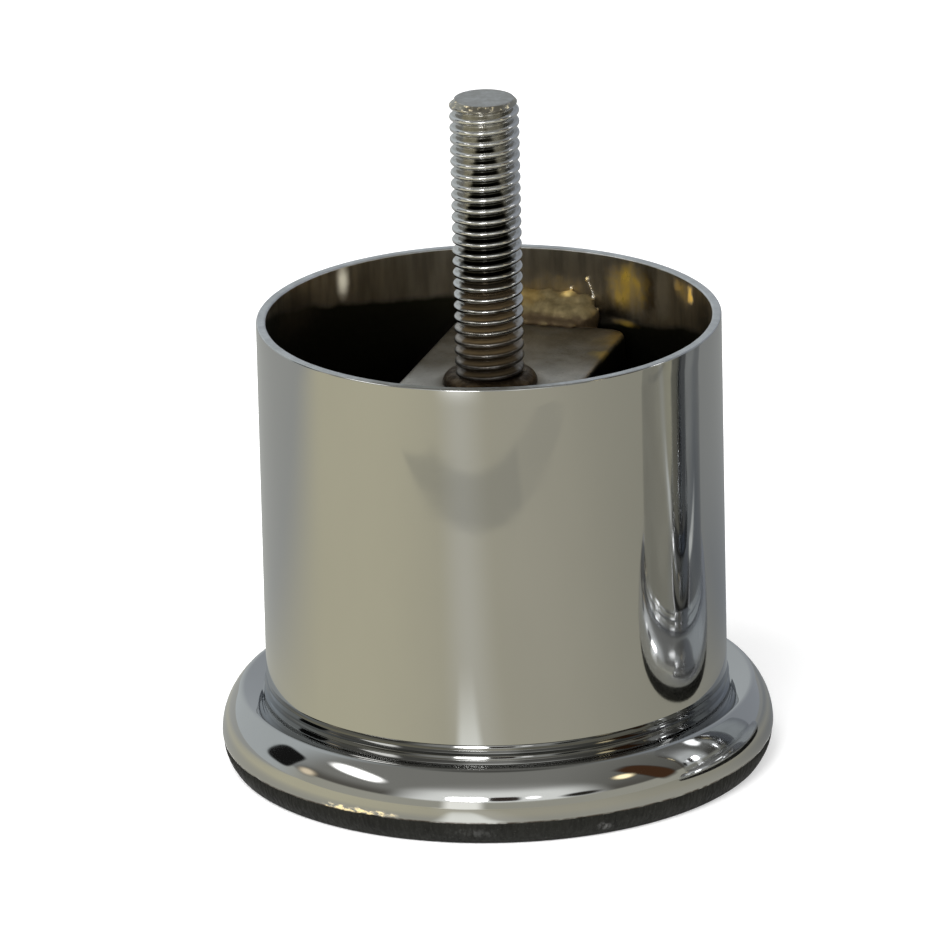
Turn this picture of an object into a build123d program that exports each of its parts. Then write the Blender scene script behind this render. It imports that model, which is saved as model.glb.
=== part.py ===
from build123d import *
import os
from math import cos, radians, sin, sqrt, tan

# Chrome plated furniture leg, in millimetres.
# Origin: middle of the pad's underside. +Z runs up the tube to the stud, the cross bar lies along Y.

# Leg tube: round steel tube, open at the top
tube_diameter = 63.5
tube_wall = 1.3
rim_height = 63.0
rim_round = 0.3

# Base flange: pressed ring that widens the foot
flange_diameter = 76.0
flange_sheet = 1.5
widest_height = 3.9
shoulder_radius = 8.5
shoulder_sweep = 44.0
crest_radius = 0.9
gutter_fall = 15.0

# Neck between flange and tube: two small rolled rings, one above the other
neck_height = 12.3
ring_split = 0.46
ring_waist = 0.45
ring_bulge = 0.2
neck_root = 0.3

# Foot pad: rubber disc under the flange, with a plug that fills the skirt's mouth
pad_thickness = 3.3
pad_edge_inset = 0.1
pad_foot_inset = 1.4
plug_height = 1.8
plug_gap = 0.3

# Cross bar: flat steel bar welded inside the tube
bar_width = 24.5
bar_end_gap = 4.45
bar_thickness = 4.0
bar_top_drop = 9.5
bar_corner = 2.4
bar_edge = 0.35

# Mounting stud: 3/8 inch, 16 threads to the inch
stud_diameter = 9.525
stud_pitch = 25.4 / 16
stud_rise = 40.5
stud_chamfer = 0.65
thread_depth_share = 0.53
thread_land_share = 0.225
stud_shank_step = 0.5625
stud_runout = 0.4

# Braze ring round the stud's root
braze_reach = 1.7
braze_height = 1.7

# Weld beads: a row of lumps from each end of the bar up the tube wall
bead_lap = 0.65
bead_sink = 0.9
bead_rise = 0.15
bead_lumps = 6
bead_spread = 27.0
bead_unevenness = 0.09
rear_bead_angle = 96.5
front_bead_angle = 271.0

# Worked out from the sizes above
tube_radius = tube_diameter / 2
bore_radius = tube_radius - tube_wall
flange_radius = flange_diameter / 2
bar_length = 2 * (bore_radius - bar_end_gap)
bar_top = rim_height - bar_top_drop
bar_bottom = bar_top - bar_thickness
stud_radius = stud_diameter / 2
stud_tip = bar_top + stud_rise
shank_radius = stud_radius - stud_shank_step
thread_depth = stud_pitch * thread_depth_share
thread_land = stud_pitch * thread_land_share
thread_flank = min(thread_depth * tan(radians(30)), (stud_pitch - thread_land) * 0.45)
thread_start = bar_top + braze_height + stud_runout
thread_top = stud_tip - stud_chamfer
thread_turns = int((thread_top - thread_land - thread_start) / stud_pitch) + 1
shoulder_middle = flange_radius - shoulder_radius
bead_radius = (bar_end_gap + bead_lap + bead_sink) / 2
bead_reach = bore_radius + bead_sink - bead_radius


def on_arc(middle_r, middle_z, radius, angle):
    """Point on an arc of the section, given its middle and the angle above level."""
    return (middle_r + radius * cos(radians(angle)), middle_z + radius * sin(radians(angle)))


def revolve_section(lines):
    """Closed section in radius and height, turned once round Z."""
    return revolve(Plane.XZ * make_face(lines), Axis.Z)


def crest_middle():
    """Middle of the small arc that rounds over the top of the shoulder."""
    start = on_arc(shoulder_middle, widest_height, shoulder_radius, shoulder_sweep)
    return on_arc(start[0], start[1], -crest_radius, shoulder_sweep)


def gutter_point(radius):
    """Point on the sloping floor of the gutter between crest and neck."""
    crest = crest_middle()
    crest_end = on_arc(crest[0], crest[1], crest_radius, 90 + gutter_fall)
    return (radius, crest_end[1] - (crest_end[0] - radius) * tan(radians(gutter_fall)))


def leg_tube():
    """Tube from the neck up to the open rim, both edges of the rim eased."""
    tube = Pos(0, 0, neck_height) * Cylinder(
        tube_radius, rim_height - neck_height, align=(Align.CENTER, Align.CENTER, Align.MIN)
    )
    tube -= Pos(0, 0, neck_height) * Cylinder(
        bore_radius, rim_height - neck_height, align=(Align.CENTER, Align.CENTER, Align.MIN)
    )
    rim_edges = tube.faces().sort_by(Axis.Z)[-1].edges()
    return fillet(rim_edges, rim_round)


def base_flange():
    """Pressed ring: skirt, round shoulder, gutter and the two neck rings in one section."""
    crest = crest_middle()
    skirt_foot = (flange_radius - 0.1, pad_thickness)
    widest = (flange_radius, widest_height)
    shoulder_mid = on_arc(shoulder_middle, widest_height, shoulder_radius, shoulder_sweep / 2)
    shoulder_end = on_arc(shoulder_middle, widest_height, shoulder_radius, shoulder_sweep)
    crest_mid = on_arc(crest[0], crest[1], crest_radius, (shoulder_sweep + 90 + gutter_fall) / 2)
    crest_end = on_arc(crest[0], crest[1], crest_radius, 90 + gutter_fall)
    gutter_end = gutter_point(tube_radius + neck_root)
    root_end = (tube_radius, gutter_end[1] + neck_root)
    root_mid = (tube_radius + neck_root * (1 - sqrt(0.5)), gutter_end[1] + neck_root * (1 - sqrt(0.5)))
    neck_rise = neck_height - root_end[1]
    waist = (tube_radius - ring_waist, root_end[1] + neck_rise * (1 - ring_split))
    lower_bulge = (tube_radius + ring_bulge, root_end[1] + neck_rise * (1 - ring_split) / 2)
    upper_bulge = (tube_radius + ring_bulge, neck_height - neck_rise * ring_split / 2)
    neck_top = (tube_radius, neck_height)
    neck_bore = (bore_radius, neck_height)
    bore_foot = (bore_radius, gutter_end[1] - flange_sheet)
    under_gutter = (gutter_end[0] + flange_sheet / 2, gutter_end[1] - flange_sheet)
    inner_radius = shoulder_radius - flange_sheet
    under_crest = on_arc(shoulder_middle, widest_height, inner_radius, shoulder_sweep)
    under_shoulder = on_arc(shoulder_middle, widest_height, inner_radius, shoulder_sweep / 2)
    skirt_inside = (flange_radius - flange_sheet, widest_height)
    skirt_lip = (flange_radius - flange_sheet, pad_thickness)
    outline = [
        Line(skirt_foot, widest),
        ThreePointArc(widest, shoulder_mid, shoulder_end),
        ThreePointArc(shoulder_end, crest_mid, crest_end),
        Line(crest_end, gutter_end),
        ThreePointArc(gutter_end, root_mid, root_end),
        ThreePointArc(root_end, lower_bulge, waist),
        ThreePointArc(waist, upper_bulge, neck_top),
        Line(neck_top, neck_bore),
        Line(neck_bore, bore_foot),
        Line(bore_foot, under_gutter),
        Line(under_gutter, under_crest),
        ThreePointArc(under_crest, under_shoulder, skirt_inside),
        Line(skirt_inside, skirt_lip),
        Line(skirt_lip, skirt_foot),
    ]
    return revolve_section(outline)


def foot_pad():
    """Rubber disc with a rounded, tapering side and a plug inside the flange's skirt."""
    top_radius = flange_radius - pad_edge_inset
    foot_radius = flange_radius - pad_foot_inset
    side_mid = (
        foot_radius + (top_radius - foot_radius) * 0.72,
        pad_thickness * 0.36,
    )
    plug_radius = flange_radius - flange_sheet - plug_gap
    plug_top = pad_thickness + plug_height
    bevel = min(0.4, plug_height / 3)
    outline = [
        Line((0, 0), (foot_radius, 0)),
        ThreePointArc((foot_radius, 0), side_mid, (top_radius, pad_thickness)),
        Line((top_radius, pad_thickness), (plug_radius, pad_thickness)),
        Line((plug_radius, pad_thickness), (plug_radius, plug_top - bevel)),
        Line((plug_radius, plug_top - bevel), (plug_radius - bevel, plug_top)),
        Line((plug_radius - bevel, plug_top), (0, plug_top)),
        Line((0, plug_top), (0, 0)),
    ]
    return revolve_section(outline)


def bar_blank():
    """The bar as sheared: flat, square ended, its four corners rounded."""
    plan = RectangleRounded(bar_width, bar_length, bar_corner)
    return extrude(Pos(0, 0, bar_bottom) * plan, bar_thickness)


def cross_bar():
    """Bar across the tube, its long edges eased, drilled for the stud."""
    bar = bar_blank()
    face_edges = bar.faces().sort_by(Axis.Z)[-1].edges() + bar.faces().sort_by(Axis.Z)[0].edges()
    bar = fillet(face_edges, bar_edge)
    hole = Pos(0, 0, bar_bottom) * Cylinder(
        shank_radius, bar_thickness, align=(Align.CENTER, Align.CENTER, Align.MIN)
    )
    return bar - hole


def thread_turn(top):
    """One turn of the thread, drawn as a ring: crest, flank and root, down to where the next flank starts."""
    root_radius = stud_radius - thread_depth
    return [
        (stud_radius, top),
        (stud_radius, top - thread_land),
        (root_radius, top - thread_land - thread_flank),
        (root_radius, top - stud_pitch + thread_flank),
    ]


def mounting_stud():
    """Stud with a plain shank through the bar, a thread above the braze and a chamfered end."""
    outline = [(0, bar_bottom), (0, stud_tip), (stud_radius - stud_chamfer, stud_tip)]
    for turn in range(thread_turns):
        outline += thread_turn(thread_top - turn * stud_pitch)
    del outline[-2:]
    outline += [(shank_radius, thread_start), (shank_radius, bar_bottom)]
    return revolve_section(Polyline(*outline, close=True))


def stud_braze_ring():
    """Rounded ring of braze where the stud's shank leaves the bar."""
    outer = stud_radius + braze_reach
    top = bar_top + braze_height
    side_mid = (outer - braze_reach * 0.22, bar_top + braze_height * 0.78)
    outline = [
        Line((shank_radius, bar_top), (outer, bar_top)),
        ThreePointArc((outer, bar_top), side_mid, (stud_radius, top)),
        Line((stud_radius, top), (shank_radius, top)),
        Line((shank_radius, top), (shank_radius, bar_top)),
    ]
    return revolve_section(outline)


def bead_lump(angle, radius):
    """One frozen ripple of the weld, ending at the tube wall and at the bar's own faces."""
    east = bead_reach * cos(radians(angle))
    north = bead_reach * sin(radians(angle))
    place = Pos(east, north, bar_top + bead_rise) * Rot(90, 0, 0)
    room = Pos(0, 0, bar_top + bead_rise) * Cylinder(bore_radius, 4 * radius)
    return (place * Sphere(radius) & room) - bar_blank()


def weld_bead(middle_angle):
    """Row of overlapping ripples that bridges the gap from the bar's end to the tube wall."""
    step = bead_spread / (bead_lumps - 1)
    bead = None
    for index in range(bead_lumps):
        angle = middle_angle - bead_spread / 2 + index * step
        radius = bead_radius * (1 + bead_unevenness * sin(index * 2.4))
        lump = bead_lump(angle, radius)
        bead = lump if bead is None else bead + lump
    return bead


def write_parts():
    """One STEP file for each piece, named after it."""
    os.makedirs("parts", exist_ok=True)
    pieces = {
        "leg_tube": leg_tube(),
        "base_flange": base_flange(),
        "foot_pad": foot_pad(),
        "cross_bar": cross_bar(),
        "mounting_stud": mounting_stud(),
        "stud_braze_ring": stud_braze_ring(),
        "weld_bead_rear": weld_bead(rear_bead_angle),
        "weld_bead_front": weld_bead(front_bead_angle),
    }
    for name, piece in pieces.items():
        piece.label = name
        export_step(piece, "parts/" + name + ".step")


write_parts()
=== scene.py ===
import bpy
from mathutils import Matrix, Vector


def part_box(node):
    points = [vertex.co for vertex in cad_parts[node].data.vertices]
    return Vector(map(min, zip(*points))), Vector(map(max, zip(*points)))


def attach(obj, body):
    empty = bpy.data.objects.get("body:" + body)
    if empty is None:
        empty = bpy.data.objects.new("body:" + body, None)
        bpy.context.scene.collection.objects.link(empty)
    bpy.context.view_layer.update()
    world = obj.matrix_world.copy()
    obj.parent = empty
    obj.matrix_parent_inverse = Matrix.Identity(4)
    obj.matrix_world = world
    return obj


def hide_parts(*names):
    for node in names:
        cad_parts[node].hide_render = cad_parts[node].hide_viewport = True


bl_info = {
    "name": "Metal Furniture Leg",
    "version": (1, 0, 0),
    "blender": (4, 5, 0),
    "location": "View3D > Sidebar > Leg",
    "description": "Chrome plated furniture leg with a threaded stud, its finishes and its studio",
    "category": "Add Mesh",
}

import random
from math import ceil, cos, degrees, pi, radians, sin, sqrt, tan

import bmesh
import bpy
from mathutils import Matrix, Quaternion, Vector, noise

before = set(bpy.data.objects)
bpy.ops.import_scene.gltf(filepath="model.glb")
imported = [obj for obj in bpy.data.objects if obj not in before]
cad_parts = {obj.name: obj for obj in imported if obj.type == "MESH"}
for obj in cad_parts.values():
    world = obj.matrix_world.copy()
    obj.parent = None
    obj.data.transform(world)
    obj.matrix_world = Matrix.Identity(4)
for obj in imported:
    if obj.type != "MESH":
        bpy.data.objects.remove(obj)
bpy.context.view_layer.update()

MM = 0.001

tube_low, tube_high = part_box("leg_tube")
flange_low, flange_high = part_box("base_flange")
pad_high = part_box("foot_pad")[1]
bar_low, bar_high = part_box("cross_bar")
stud_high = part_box("mounting_stud")[1]
ring_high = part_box("stud_braze_ring")[1]

# Smaller sizes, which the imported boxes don't give
skirt_inset = 0.12 * MM
neck_root = 0.3 * MM
lower_ring_share = 0.55
lower_ring_step = 0.34 * MM
upper_ring_step = 0.28 * MM
pad_foot_inset = 1.4 * MM
bar_corner = 2.4 * MM
shank_radius = 4.2 * MM
tip_chamfer = 0.72 * MM

# Wall that the welds lie on, and how high a weld climbs on it, in millimetres
weld_wall = 30.45
weld_climb = 0.45

# Turn of the photograph's camera, distance of the studio's cards and place of the second leg
photo_turn = radians(16.9)
card_distance = 2.6
second_leg_place = (0.0946, -0.0052, 0)

# Two points nearer than this are one
touching = 1e-7


# Sizes, finishes and studio, as a user sees them in the sidebar


class LegSizes(bpy.types.PropertyGroup):
    """Sizes of the leg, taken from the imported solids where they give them."""

    tube_radius: bpy.props.FloatProperty(
        name="Tube radius", description="Outside of the tube", default=tube_high.x, unit="LENGTH",
        precision=5,
    )
    tube_wall: bpy.props.FloatProperty(
        name="Tube wall", description="Thickness of the tube's wall", default=1.3 * MM, unit="LENGTH",
        precision=5,
    )
    rim_height: bpy.props.FloatProperty(
        name="Rim height", description="Height of the open rim", default=tube_high.z, unit="LENGTH",
        precision=5,
    )
    rim_round: bpy.props.FloatProperty(
        name="Rim rounding", description="Radius on the rim's edges", default=0.28 * MM, unit="LENGTH",
        precision=5,
    )
    neck_height: bpy.props.FloatProperty(
        name="Neck height", description="Where the tube meets the neck", default=tube_low.z,
        unit="LENGTH", precision=5,
    )
    flange_radius: bpy.props.FloatProperty(
        name="Flange radius", description="Widest part of the foot", default=flange_high.x,
        unit="LENGTH", precision=5,
    )
    flange_sheet: bpy.props.FloatProperty(
        name="Flange sheet", description="Thickness of the pressed sheet", default=1.5 * MM,
        unit="LENGTH", precision=5,
    )
    shoulder_radius: bpy.props.FloatProperty(
        name="Shoulder radius", description="Rounding of the flange's shoulder", default=8.5 * MM,
        unit="LENGTH", precision=5,
    )
    shoulder_sweep: bpy.props.FloatProperty(
        name="Shoulder sweep", description="How far the shoulder turns inwards", default=radians(44),
        subtype="ANGLE",
    )
    widest_height: bpy.props.FloatProperty(
        name="Widest height", description="Height of the flange's widest line", default=3.9 * MM,
        unit="LENGTH", precision=5,
    )
    crest_radius: bpy.props.FloatProperty(
        name="Crest radius", description="Rounding at the top of the shoulder", default=0.9 * MM,
        unit="LENGTH", precision=5,
    )
    gutter_fall: bpy.props.FloatProperty(
        name="Gutter fall", description="Slope of the gutter towards the neck", default=radians(15),
        subtype="ANGLE",
    )
    pad_thickness: bpy.props.FloatProperty(
        name="Pad thickness", description="Height of the pad that shows", default=flange_low.z,
        unit="LENGTH", precision=5,
    )
    thread_pitch: bpy.props.FloatProperty(
        name="Thread pitch", description="Distance between two turns of the thread",
        default=25.4 / 16 * MM, unit="LENGTH", precision=6,
    )
    thread_depth: bpy.props.FloatProperty(
        name="Thread depth", description="Crest to root", default=0.84 * MM, unit="LENGTH",
        precision=5,
    )


class LegFinishes(bpy.types.PropertyGroup):
    """Colours and gloss of the finishes."""

    chrome: bpy.props.FloatVectorProperty(
        name="Chrome", description="Colour of the plating", default=(0.56, 0.56, 0.555),
        subtype="COLOR", min=0, max=1,
    )
    chrome_gloss: bpy.props.FloatProperty(
        name="Chrome roughness", description="Roughness of clean plating", default=0.045, min=0, max=1,
        subtype="FACTOR",
    )
    rim: bpy.props.FloatVectorProperty(
        name="Rim", description="Colour of the ground and plated rim", default=(0.78, 0.79, 0.80),
        subtype="COLOR", min=0, max=1,
    )
    # Painted light: colour of the lit band just inside the rim
    bore_lit_band: bpy.props.FloatVectorProperty(
        name="Bore lit band", description="Dull plating just inside the rim", default=(0.42, 0.37, 0.29),
        subtype="COLOR", min=0, max=1,
    )
    # Painted shadow: colour of the wall below the painted shadow line
    bore_painted_shadow: bpy.props.FloatVectorProperty(
        name="Bore painted shadow", description="Unplated wall deeper inside", default=(0.030, 0.028, 0.018),
        subtype="COLOR", min=0, max=1,
    )
    heat_tint: bpy.props.FloatVectorProperty(
        name="Heat tint", description="Golden bloom beside the weld", default=(0.66, 0.43, 0.05),
        subtype="COLOR", min=0, max=1,
    )
    rubber: bpy.props.FloatVectorProperty(
        name="Rubber", description="Colour of the foot pad", default=(0.0095, 0.0095, 0.0075),
        subtype="COLOR", min=0, max=1,
    )
    bar: bpy.props.FloatVectorProperty(
        name="Bar steel", description="Colour of the flat bar", default=(0.57, 0.54, 0.49),
        subtype="COLOR", min=0, max=1,
    )
    stain: bpy.props.FloatVectorProperty(
        name="Brown stain", description="Flux and rust stain", default=(0.12, 0.094, 0.055),
        subtype="COLOR", min=0, max=1,
    )
    stud: bpy.props.FloatVectorProperty(
        name="Stud plating", description="Colour of the threaded stud", default=(0.68, 0.68, 0.68),
        subtype="COLOR", min=0, max=1,
    )
    weld: bpy.props.FloatVectorProperty(
        name="Weld metal", description="Colour of the frozen weld", default=(0.27, 0.21, 0.10),
        subtype="COLOR", min=0, max=1,
    )


class LegStudio(bpy.types.PropertyGroup):
    """Camera, lamps and floor."""

    azimuth: bpy.props.FloatProperty(
        name="Camera azimuth", description="Turn of the camera round the leg", default=radians(16.99),
        subtype="ANGLE",
    )
    elevation: bpy.props.FloatProperty(
        name="Camera elevation", description="Height angle of the camera", default=radians(19.12),
        subtype="ANGLE",
    )
    roll: bpy.props.FloatProperty(
        name="Camera roll", description="Lean of the camera", default=radians(-1.33), subtype="ANGLE",
    )
    distance: bpy.props.FloatProperty(
        name="Camera distance", description="From the aim point", default=1.4966, unit="LENGTH",
    )
    aim: bpy.props.FloatVectorProperty(
        name="Aim point", description="Point in the picture's middle",
        default=(-0.00228, -0.00065, 0.04), subtype="TRANSLATION", unit="LENGTH", precision=5,
    )
    lens: bpy.props.FloatProperty(
        name="Lens", description="Focal length in millimetres on a 36 mm sensor", default=414.05,
        min=1,
    )
    studio_turn: bpy.props.FloatProperty(
        name="Studio turn", description="Turn of the cards and lamps about the leg",
        default=photo_turn, subtype="ANGLE",
    )
    ambient: bpy.props.FloatProperty(
        name="Ambient", description="World light that falls on the leg", default=0.55, min=0,
    )
    key_power: bpy.props.FloatProperty(
        name="Key lamp", description="Power of the large soft lamp", default=26.0, unit="POWER", min=0,
    )
    fill_power: bpy.props.FloatProperty(
        name="Fill lamp", description="Power of the second soft lamp", default=12.0, unit="POWER",
        min=0,
    )
    floor: bpy.props.FloatVectorProperty(
        name="Floor", description="Colour of the floor", default=(0.86, 0.86, 0.86), subtype="COLOR",
        min=0, max=1,
    )


# Meshes


def arc(middle, radius, start, end, steps):
    """Points on an arc of a section, in radius and height, between two angles in degrees."""
    points = []
    for index in range(steps + 1):
        angle = radians(start + (end - start) * index / steps)
        points.append((middle[0] + radius * cos(angle), middle[1] + radius * sin(angle)))
    return points


def run(start, end, steps):
    """Points on a straight run of a section, without its first point."""
    points = []
    for index in range(1, steps + 1):
        part = index / steps
        points.append((start[0] + (end[0] - start[0]) * part, start[1] + (end[1] - start[1]) * part))
    return points


def bulge(start, end, rise, steps):
    """Points on an arc that stands out by rise from the straight line between two points."""
    chord = Vector((end[0] - start[0], end[1] - start[1]))
    outward = Vector((chord.y, -chord.x)).normalized()
    points = []
    for index in range(1, steps + 1):
        part = index / steps
        out = rise * 4 * part * (1 - part)
        x = start[0] + chord.x * part + outward.x * out
        y = start[1] + chord.y * part + outward.y * out
        points.append((x, y))
    return points


def along(table, share):
    """Value at a share of the way through a table of shares and values."""
    for (low, first), (high, second) in zip(table, table[1:]):
        if low <= share <= high:
            return first + (second - first) * (share - low) / (high - low)
    return table[-1][1]


def wobble(x, y, z, size, seed=0.0):
    """Smooth noise between about -1 and 1, the same on every run."""
    return noise.noise(Vector((x / size + seed, y / size - seed, z / size + 2 * seed)))


def round_wobble(angle, radius, size, seed, height=0.0):
    """Smooth noise at a turn angle on a circle."""
    return wobble(cos(angle) * radius, sin(angle) * radius, height, size, seed)


def join_rings(bm, first, second, material=0):
    """Faces between two rings, either of which may be a single point."""
    count = max(len(first), len(second))
    for index in range(count):
        after = (index + 1) % count
        near = (first[index % len(first)], first[after % len(first)])
        far = (second[after % len(second)], second[index % len(second)])
        corners = list(dict.fromkeys(near + far))
        bm.faces.new(corners).material_index = material


def flat_ring(bm, plan, height):
    """Ring of points at one height from their places seen from above."""
    return [bm.verts.new((spot.x, spot.y, height)) for spot in plan]


def lathe(bm, outline, around, finishes=None, shift=None):
    """Turns a section round Z, with around points in each ring.

    finishes gives the material of each run of the section, shift moves single points.
    """
    rings = []
    for row, (radius, height) in enumerate(outline):
        if radius < touching:
            rings.append([bm.verts.new((0, 0, height))])
            continue
        ring = []
        for step in range(around):
            angle = 2 * pi * step / around
            out, up = shift(row, angle) if shift else (0, 0)
            ring.append(bm.verts.new(((radius + out) * cos(angle), (radius + out) * sin(angle), height + up)))
        rings.append(ring)
    for row in range(len(rings) - 1):
        join_rings(bm, rings[row], rings[row + 1], finishes[row] if finishes else 0)
    return rings


def link_mesh(name, bm, materials, sharp=None):
    """Object from a mesh under construction, smooth except where an angle in degrees is passed."""
    mesh = bpy.data.meshes.new(name)
    bm.to_mesh(mesh)
    bm.free()
    for material in materials:
        mesh.materials.append(material)
    if sharp:
        mesh.polygons.foreach_set("use_smooth", [True] * len(mesh.polygons))
        mesh.set_sharp_from_angle(angle=radians(sharp))
    thing = bpy.data.objects.new(name, mesh)
    bpy.context.scene.collection.objects.link(thing)
    return thing


def make_piece(name, bm, looks, nodes, sharp=38):
    """Smooth piece with its finishes, which rides on the leg and stands for its solids."""
    bmesh.ops.recalc_face_normals(bm, faces=bm.faces)
    piece = link_mesh(name, bm, [finish(look) for look in looks], sharp)
    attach(piece, "root")
    if nodes:
        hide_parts(*nodes)
    return piece


# Slope of the neck rings' outside in degrees, at shares of each ring's height
lower_ring_slopes = (
    (0.0, 8), (0.05, 27), (0.3, 33), (0.36, 6), (0.42, 15), (0.64, 21), (0.7, 4), (1.0, -24),
)
upper_ring_slopes = (
    (0.0, 8), (0.06, 27), (0.3, 33), (0.38, 4), (0.5, 6), (0.56, 15), (0.86, 21), (0.94, 34), (1.0, 60),
)


def sloped_ring(start, rise, step_out, slopes, steps):
    """One rolled ring of the neck, which steps out at its foot and follows a table of slopes."""
    radius = start[0] + step_out
    height = start[1]
    points = [(radius, height + 0.02 * MM)]
    for index in range(steps):
        slope = along(slopes, (index + 0.5) / steps)
        height += rise / steps
        radius -= rise / steps * tan(radians(slope))
        points.append((radius, height))
    return points


def flange_section(sizes):
    """Outside of the flange from the skirt's foot up to the tube, then back down its inside."""
    widest = (sizes.flange_radius, sizes.widest_height)
    middle = (sizes.flange_radius - sizes.shoulder_radius, sizes.widest_height)
    sweep = degrees(sizes.shoulder_sweep)
    fall = degrees(sizes.gutter_fall)
    foot = (sizes.flange_radius - skirt_inset, sizes.pad_thickness)
    outline = [foot]
    outline += bulge(foot, widest, 0.02 * MM, 4)
    outline += arc(middle, sizes.shoulder_radius, 0, sweep, 44)[1:]
    shoulder_end = outline[-1]
    crest = (
        shoulder_end[0] - sizes.crest_radius * cos(sizes.shoulder_sweep),
        shoulder_end[1] - sizes.crest_radius * sin(sizes.shoulder_sweep),
    )
    outline += arc(crest, sizes.crest_radius, sweep, 90 + fall, 16)[1:]
    crest_end = outline[-1]
    gutter_radius = sizes.tube_radius + neck_root
    gutter_end = (gutter_radius, crest_end[1] - (crest_end[0] - gutter_radius) * tan(sizes.gutter_fall))
    outline += run(crest_end, gutter_end, 8)
    root_end = (sizes.tube_radius, gutter_end[1] + neck_root)
    outline += arc((gutter_radius, root_end[1]), neck_root, 270, 180, 4)[1:]
    lower_rise = (sizes.neck_height - root_end[1]) * lower_ring_share
    outline += sloped_ring(root_end, lower_rise, lower_ring_step, lower_ring_slopes, 40)
    waist = (outline[-1][0] - 0.05 * MM, outline[-1][1] + 0.03 * MM)
    outline.append(waist)
    upper_rise = sizes.neck_height - 0.03 * MM - waist[1]
    outline += sloped_ring(waist, upper_rise, upper_ring_step, upper_ring_slopes, 36)
    outline.append((sizes.tube_radius, sizes.neck_height))
    outside = len(outline)
    bore = sizes.tube_radius - sizes.tube_wall
    sheet = sizes.flange_sheet
    outline += [(bore, sizes.neck_height), (bore, gutter_end[1] - sheet)]
    outline.append((gutter_end[0] + sheet / 2, gutter_end[1] - sheet))
    outline += arc(middle, sizes.shoulder_radius - sheet, sweep, 0, 14)
    outline.append((sizes.flange_radius - sheet, sizes.pad_thickness))
    outline.append(foot)
    return outline, outside


def build_tube_mesh(sizes):
    """Tube with an eased rim, its bore and its ground rim face."""
    outer = sizes.tube_radius
    bore = outer - sizes.tube_wall
    ease = sizes.rim_round
    top = sizes.rim_height
    outline = [(outer, sizes.neck_height)]
    outline += run(outline[-1], (outer, top - ease), 20)
    outline += arc((outer - ease, top - ease), ease, 0, 90, 7)[1:]
    outer_edge = len(outline) - 1
    outline += run(outline[-1], (bore + ease, top), 3)
    outline += arc((bore + ease, top - ease), ease, 90, 180, 6)[1:]
    inner_edge = len(outline) - 1
    outline += run(outline[-1], (bore, sizes.neck_height), 20)
    plated = outer_edge - 3
    ground = inner_edge - 1
    finishes = [0] * plated + [1] * (ground - plated) + [2] * (len(outline) - 1 - ground)

    def shift(row, angle):
        if row < outer_edge or row > inner_edge + 1:
            return (0, 0)
        burr = round_wobble(angle, outer, 1.1 * MM, 3.1) * 0.03 * MM
        dent = round_wobble(angle, outer, 6 * MM, 8.2) * 0.03 * MM
        return (burr, -abs(dent))

    bm = bmesh.new()
    lathe(bm, outline, 384, finishes, shift)
    return bm


def build_flange_mesh(sizes):
    """Pressed flange with a nicked lower edge."""
    outline, outside = flange_section(sizes)
    finishes = [0] * (outside - 1) + [1] * (len(outline) - outside)

    def shift(row, angle):
        closing = row == len(outline) - 1
        if row > 3 and not closing:
            return (0, 0)
        fade = 1 if closing else 1 - row / 3
        nick = max(0.0, round_wobble(angle, sizes.flange_radius, 2.3 * MM, 5.7) - 0.32) * 0.35 * MM
        ripple = round_wobble(angle, sizes.flange_radius, 0.7 * MM, 1.9) * 0.02 * MM
        return (-abs(ripple) * fade, nick * fade)

    bm = bmesh.new()
    lathe(bm, outline, 420, finishes, shift)
    bmesh.ops.remove_doubles(bm, verts=bm.verts, dist=touching)
    return bm


def build_pad_mesh(sizes):
    """Rubber disc whose side rounds in towards the floor, with its hidden plug."""
    top_radius = sizes.flange_radius - skirt_inset
    foot_radius = sizes.flange_radius - pad_foot_inset
    thick = sizes.pad_thickness
    side_foot = 0.03 * MM
    outline = [(0, 0), (foot_radius * 0.5, 0), (foot_radius - 0.6 * MM, 0)]
    outline.append((foot_radius - 0.1 * MM, side_foot))
    side_start = len(outline)
    side_steps = 16
    for index in range(1, side_steps + 1):
        part = index / side_steps
        radius = foot_radius + (top_radius - foot_radius) * sin(part * pi / 2) ** 0.8
        outline.append((radius, side_foot + (thick - side_foot) * part))
    plug_radius = sizes.flange_radius - sizes.flange_sheet - 0.3 * MM
    outline += [(plug_radius, thick), (plug_radius, thick + 1.4 * MM)]
    outline += [(plug_radius - 0.4 * MM, pad_high.z), (0, pad_high.z)]

    def shift(row, angle):
        if not side_start <= row < side_start + side_steps:
            return (0, 0)
        low = round_wobble(angle, foot_radius, 7 * MM, 2.2) * 0.05 * MM
        rib = round_wobble(angle, foot_radius, 0.55 * MM, 9.4, row * 0.02 * MM) * 0.018 * MM
        return (rib - abs(low), 0)

    bm = bmesh.new()
    lathe(bm, outline, 540, None, shift)
    return bm


def bar_plan(inset, corner, count):
    """Points round the bar's rounded rectangle, drawn in by inset, evenly by turn angle about the middle."""
    half_width = bar_high.x - inset
    half_length = bar_high.y - inset
    inner_x = half_width - corner
    inner_y = half_length - corner
    points = []
    for index in range(count):
        angle = 2 * pi * index / count
        direction = Vector((cos(angle), sin(angle)))
        reach = min(half_width / max(abs(direction.x), 1e-9), half_length / max(abs(direction.y), 1e-9))
        spot = direction * reach
        if abs(spot.x) > inner_x and abs(spot.y) > inner_y:
            centre = Vector((inner_x * (1 if spot.x > 0 else -1), inner_y * (1 if spot.y > 0 else -1)))
            ahead = direction.dot(centre)
            gap = centre.length_squared - corner * corner
            spot = direction * (ahead + sqrt(max(0.0, ahead * ahead - gap)))
        points.append(spot)
    return points


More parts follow.
